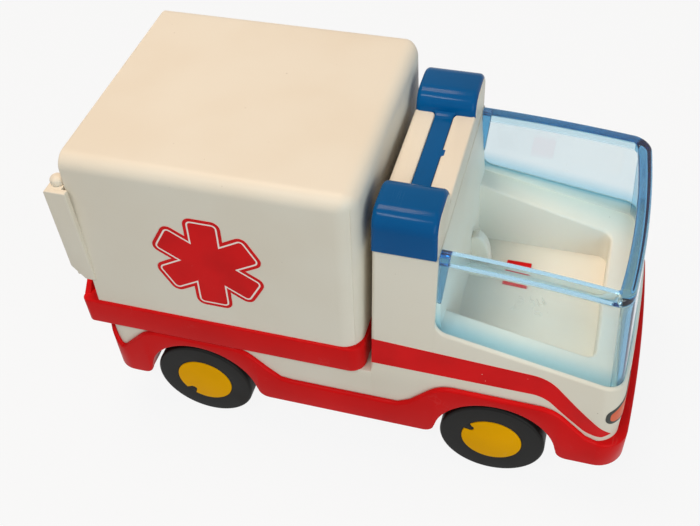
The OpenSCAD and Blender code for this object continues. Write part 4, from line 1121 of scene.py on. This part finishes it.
def show_mix(tree, factor, first, second, output="Material Output"):
    """Sends a mix of two shaders to the output: the first where the factor is 0, and the second where it is 1."""
    mixed = factor.node("ShaderNodeMixShader", {}, {0: factor, 1: first, 2: second})
    tree.links.new(mixed.socket, tree.nodes[output].inputs["Surface"])


def bump(height, strength, distance):
    """Normal from a height, in metres at full strength."""
    return height.node("ShaderNodeBump", {}, {"Height": height, "Strength": strength, "Distance": distance})


print("a Wire stands for a socket, with", ", ".join(name for name in vars(Wire) if not name.startswith("__")))

# %% [markdown]
# ## Cream plastic
# The body and box are a warm white that has yellowed a little unevenly. Play has left dark specks, and short
# scuffs that only change the gloss. The yellowing is a slow noise, the specks are small cells, and the scuffs are
# thin lines broken up by another noise.

# %% Cream plastic
CREAM, YELLOWED, GRIME = (0.80, 0.745, 0.64, 1), (0.775, 0.705, 0.59, 1), (0.30, 0.24, 0.17, 1)


def cream_paint(place):
    """Uneven cream with dark specks, duller along the scuffs."""
    base = place.noise(18, 3).step(0.35, 0.7).mix(CREAM, YELLOWED)
    grime = place.specks(150, 0.045) * place.noise(60, 2).step(0.5, 0.62)
    scuff = place.scratches(140, (0.4, 0.9, 0.2), 0.02) * place.noise(70, 2).step(0.62, 0.70)
    colour = (grime * 0.55).mix(base, GRIME)
    rough = 0.36 + place.noise(35, 3) * 0.12 + scuff * 0.15
    return {"Base Color": colour, "Roughness": rough, "Normal": bump(place.noise(900, 3), 0.08, 0.0002)}


cream = finish("cream_plastic", cream_paint, IOR=1.49, Specular_IOR_Level=0.25)

# %% [markdown]
# ## Red plastic, blue plastic and yellow plastic
# These are coloured through, so a scratch shows as a paler, rougher line and not as another colour. One
# function takes the colour, and the numbers say how worn and how glossy each one is.

# %% Coloured plastics


def dyed(colour, pale, wear, gloss):
    """Paint of a plastic dyed through: slow change of colour, fine pale scratches and an uneven gloss."""
    def paint(place):
        deep = tuple(c * 0.86 for c in colour)
        base = place.noise(25, 3).step(0.3, 0.75).mix(colour + (1,), deep + (1,))
        lines = place.scratches(150, (0.3, 0.5, 1.1), 0.02) * place.noise(70, 2).step(0.58, 0.68)
        more = place.scratches(120, (1.2, 0.2, 0.4), 0.02) * place.noise(65, 2).step(0.60, 0.70)
        worn = lines + more
        tinted = (worn * wear).mix(base, pale + (1,))
        dust = place.specks(170, 0.04) * place.noise(55, 2).step(0.55, 0.65)
        tinted = (dust * 0.4).mix(tinted, pale + (1,))
        rough = gloss + place.noise(40, 3) * 0.12 + worn * 0.15
        return {"Base Color": tinted, "Roughness": rough, "Normal": bump(place.noise(800, 3), 0.07, 0.0002)}
    return paint


red = finish("red_plastic", dyed((0.74, 0.007, 0.008), (0.74, 0.20, 0.18), 0.1, 0.28), IOR=1.49,
             Specular_IOR_Level=0.06)
blue = finish("blue_plastic", dyed((0.0, 0.095, 0.30), (0.10, 0.28, 0.50), 0.05, 0.08), IOR=1.49,
              Specular_IOR_Level=0.09)
yellow = finish("yellow_plastic", dyed((1.0, 0.47, 0.0), (0.90, 0.62, 0.20), 0.1, 0.34), IOR=1.49,
                Specular_IOR_Level=0.03)

# %% [markdown]
# ## Tyres and axles
# The tyres are a matt soft plastic with a little dust. The axles are drawn steel wire, with fine lines along
# their length.

# %% Tyre and steel
TYRE_BLACK, DUSTY = (0.012, 0.0115, 0.011, 1), (0.030, 0.027, 0.024, 1)
DARK_STEEL, LIGHT_STEEL = (0.50, 0.50, 0.52, 1), (0.66, 0.66, 0.67, 1)


def tyre_paint(place):
    """Matt black, greyer and duller where dust lies."""
    dust = place.noise(70, 4).step(0.45, 0.8)
    colour = (dust * 0.4).mix(TYRE_BLACK, DUSTY)
    return {"Base Color": colour, "Roughness": 0.42 + dust * 0.2, "Normal": bump(place.noise(1200, 3), 0.12, 0.0002)}


def steel_paint(place):
    """Fine lines along the wire, in colour and gloss."""
    lines = place.noise(1500, 2, (1, 0.02, 1))
    return {"Base Color": lines.mix(DARK_STEEL, LIGHT_STEEL), "Roughness": 0.25 + lines * 0.2}


tyre_finish = finish("tyre_plastic", tyre_paint, IOR=1.5, Specular_IOR_Level=0.1)
steel = finish("drawn_steel", steel_paint, Metallic=1.0)

# %% [markdown]
# ## Clear blue plastic
# The windscreen is tinted through: it looks pale where it is thin and deep blue along its edges. The shader lets
# light through, and an absorbing volume takes out red and green by the distance crossed. Just above the lip the
# surface carries painted blue light: a bluer colour that stands in for the shelf behind, lit through the glass and
# seen through it again. Shadow rays pass as through plain clear film, so the cab behind it stays bright.

# %% Clear plastic
LIP_LINE = (LIP_Z + LIP_FALL * GLASS_X) * MM
# The first colour here is painted blue light for the band just above the lip: it stands in for the shelf behind, lit
# through the glass and seen through it again.
PAINTED_LIP_LIGHT, DEPTH_BLUE, SHADOW_BLUE = (0.46, 0.71, 0.83, 1), (0.0, 0.58, 0.82, 1), (0.90, 0.95, 0.98, 1)


def clear_plastic(name, density, surface):
    """Glass with an absorbing volume: density says how fast the blue deepens with the distance crossed. Its surface
    has
    the colour given, but just above the lip, by the height over the lip's falling line, it carries painted blue
    light:
    a bluer colour that stands in for the shelf behind, lit through the glass and seen through it again."""
    def paint(place):
        height = place.node("ShaderNodeVectorMath", {"operation": "DOT_PRODUCT"}, {0: place, 1: (LIP_FALL, 0, 1)}, 1)
        above = height.step(LIP_LINE - 0.0003, LIP_LINE + 0.010)
        below = 1 - height.step(LIP_LINE - 0.002, LIP_LINE - 0.0003)
        worn = place.scratches(130, (0.2, 0.8, 0.5), 0.015) * place.noise(60, 2).step(0.62, 0.70)
        # Painted blue light: the band just above the lip takes the bluer colour in place of the glass's own.
        return {"Base Color": (above + below).mix(PAINTED_LIP_LIGHT, surface),
                "Roughness": 0.03 + place.noise(50, 3) * 0.05 + worn * 0.25,
                "Normal": bump(worn + place.noise(300, 2) * 0.3, 0.06, 0.0002)}
    made = finish(name, paint, Transmission_Weight=1.0, IOR=1.49)
    tree = made.node_tree
    glass = Wire(tree, tree.nodes["Principled BSDF"].outputs[0])
    veil = glass.node("ShaderNodeBsdfTransparent", {}, {"Color": SHADOW_BLUE})
    show_mix(tree, glass.node("ShaderNodeLightPath", out="Is Shadow Ray"), glass, veil)
    depth = glass.node("ShaderNodeVolumeAbsorption", {}, {"Color": DEPTH_BLUE, "Density": density})
    tree.links.new(depth.socket, tree.nodes["Material Output"].inputs["Volume"])
    print(name, "absorbs at density", density)
    return made


clear = clear_plastic("clear_blue_plastic", 85.0, (0.90, 0.93, 0.94, 1))
# The front's surface colour is darker and bluer than the sides', though it is the same plastic: painted shade that
# stands in for the deeper blue of light running along the front's length.
front_clear = clear_plastic("front_blue_plastic_painted_shade", 230.0, (0.64, 0.73, 0.79, 1))
deep_clear = clear_plastic("deep_blue_plastic", 560.0, (0.95, 0.97, 0.98, 1))

# %% [markdown]
# ## Printed films
# The star is red with a thin white line just inside its edge. The line is drawn where the distance from the edge,
# kept on the points, lies in a narrow band. The indicator has a dark border in the same way.

# %% Printed films
STAR_INK, STRIPE_INK, WHITE_INK = (0.74, 0.006, 0.008), (0.74, 0.008, 0.010), (0.95, 0.84, 0.78, 1)
WORN_STAR, WORN_STRIPE = (0.70, 0.60, 0.52, 1), (0.70, 0.55, 0.48, 1)
DARK_BORDER, ORANGE_INK = (0.055, 0.06, 0.055, 1), (0.74, 0.145, 0.065, 1)


def print_base(place, colour):
    """Ink with a slow change of depth."""
    return place.noise(60, 3).step(0.3, 0.75).mix(colour + (1,), tuple(c * 0.85 for c in colour) + (1,))


def edge_distance(place):
    """Distance from the film's edge in millimetres, as kept on its points."""
    return place.node("ShaderNodeAttribute", {"attribute_name": "edge_distance"}, {}, 2)


def star_paint(place):
    """Red ink, a white line between two distances from the edge, and a few worn spots."""
    edge = edge_distance(place)
    line = edge.step(1.25, 1.35) * (1 - edge.step(1.9, 2.0))
    spots = place.specks(260, 0.06) * place.noise(90, 2).step(0.5, 0.6)
    colour = (spots * 0.6).mix(line.mix(print_base(place, STAR_INK), WHITE_INK), WORN_STAR)
    return {"Base Color": colour, "Roughness": 0.34 + place.noise(80, 3) * 0.14}


def stripe_paint(place):
    """Red ink with a few worn spots."""
    spots = place.specks(220, 0.06) * place.noise(70, 2).step(0.52, 0.62)
    colour = (spots * 0.5).mix(print_base(place, STRIPE_INK), WORN_STRIPE)
    return {"Base Color": colour, "Roughness": 0.34 + place.noise(80, 3) * 0.14}


def indicator_paint(place):
    """Dark up to a distance from the edge, and orange inside."""
    colour = edge_distance(place).step(1.75, 1.95).mix(DARK_BORDER, ORANGE_INK)
    return {"Base Color": colour, "Roughness": 0.32 + place.noise(80, 3) * 0.14}


star_print = finish("star_print", star_paint, IOR=1.5, Specular_IOR_Level=0.12)
stripe_print = finish("stripe_print", stripe_paint, IOR=1.5, Specular_IOR_Level=0.12)
indicator_print = finish("indicator_print", indicator_paint, IOR=1.5, Specular_IOR_Level=0.12)

# %% [markdown]
# ## Dressing the pieces
# Each piece takes one finish. The two axles keep their solids from the packed model, because a plain steel wire
# needs no better shape, and only their finish changes.

# %% Give each piece its finish
looks = ((red, [chassis, tray]), (cream, [cab, box, *doors, *pins]), (blue, [light_bar]), (clear, [windscreen]),
         (front_clear, [front_pane]), (deep_clear, [wedges]), (yellow, hubs), (tyre_finish, tyres),
         (star_print, stars), (stripe_print, stripes), (indicator_print, lamps))
for material, dressed in looks:
    for piece in dressed:
        piece.data.materials.append(material)
for name in ("front_axle", "rear_axle"):
    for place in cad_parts[name].material_slots:
        place.material = steel

# %% [markdown]
# ## Studio
# A pale floor and soft light keep the colours as they are written. A warm lamp hangs above, a narrow one over the
# near side makes the long highlights, and a large cool one fills the near side. The world fills the shadows. The
# camera sees the floor and the world as white, while the floor keeps the toy's shadow.

# %% Floor and world
FLOOR_HALF, FLOOR_WHITE, SKY_STRENGTH = 6, 0.9, 0.26


def direct_rays(tree):
    """1 for rays from the camera, through the glass or off a glossy surface, and 0 for the rest."""
    ray = tree.nodes.new("ShaderNodeLightPath").outputs
    straight = Wire(tree, ray["Is Camera Ray"]) + Wire(tree, ray["Is Transmission Ray"])
    return straight + Wire(tree, ray["Is Glossy Ray"]) * (1 - straight)


floor_mesh = bpy.data.meshes.new("studio_floor")
floor_corners = [(u * FLOOR_HALF, v * FLOOR_HALF, 0) for u, v in ((-1, -1), (1, -1), (1, 1), (-1, 1))]
floor_mesh.from_pydata(floor_corners, [], [(0, 1, 2, 3)])
floor = bpy.data.objects.new("studio_floor", floor_mesh)
bpy.context.scene.collection.objects.link(floor)
paper = finish("white_paper", lambda place: {}, Base_Color=(0.42, 0.42, 0.42, 1), Roughness=0.9,
               Specular_IOR_Level=0.0)
paper_tree = paper.node_tree
plain = Wire(paper_tree, paper_tree.nodes["Principled BSDF"].outputs[0])
show_mix(paper_tree, direct_rays(paper_tree) * FLOOR_WHITE, plain, plain.node("ShaderNodeEmission"))
floor_mesh.materials.append(paper)

world = bpy.data.worlds.new("studio")
world.use_nodes = True
bpy.context.scene.world = world
sky_tree = world.node_tree
background = sky_tree.nodes["Background"]
background.inputs["Color"].default_value = (0.94, 0.98, 1.0, 1)
background.inputs["Strength"].default_value = SKY_STRENGTH
sky = Wire(sky_tree, background.outputs[0])
white = sky.node("ShaderNodeBackground", {}, {"Color": (1, 1, 1, 1)})
show_mix(sky_tree, direct_rays(sky_tree), sky, white, "World Output")
print("the floor is", 2 * FLOOR_HALF, "m wide, and the world's strength is", SKY_STRENGTH)

# %% Lamps


def soft_lamp(name, place, target, size, watts, colour):
    """Lamp of that width and height aimed at a point: its own axis is the line from the point to the lamp."""
    made = bpy.data.lights.new(name, "AREA")
    made.shape, made.energy, made.color = "RECTANGLE", watts, colour
    made.size, made.size_y = size
    lamp = bpy.data.objects.new(name, made)
    z = np.array(place, float) - np.array(target, float)
    z /= np.linalg.norm(z)
    x = np.cross((0, 1, 0), z) if abs(z[2]) > 0.95 else np.cross((0, 0, 1), z)
    x /= np.linalg.norm(x)
    matrix = np.eye(4)
    matrix[:3, :3] = np.stack([x, np.cross(z, x), z], axis=1)
    matrix[:3, 3] = place
    lamp.matrix_world = Matrix(matrix.tolist())
    bpy.context.scene.collection.objects.link(lamp)
    print(name, watts, "W")


soft_lamp("warm_lamp_above", (-0.27, 0.12, 1.10), (0, 0, 0.08), (0.40, 0.40), 6.2, (1.0, 0.755, 0.54))
soft_lamp("front_lamp", (-0.24, -0.57, 0.98), (0, 0, 0.08), (0.36, 0.10), 2.7, (1.0, 0.98, 0.95))
soft_lamp("near_fill", (0.72, -0.68, 0.28), (0, 0, 0.06), (0.7, 0.7), 4.7, (0.86, 0.98, 1.0))

bounces = bpy.context.scene.cycles
bounces.max_bounces, bounces.glossy_bounces, bounces.transmission_bounces = 32, 24, 24
bpy.context.scene.view_settings.view_transform = "Standard"

# %% [markdown]
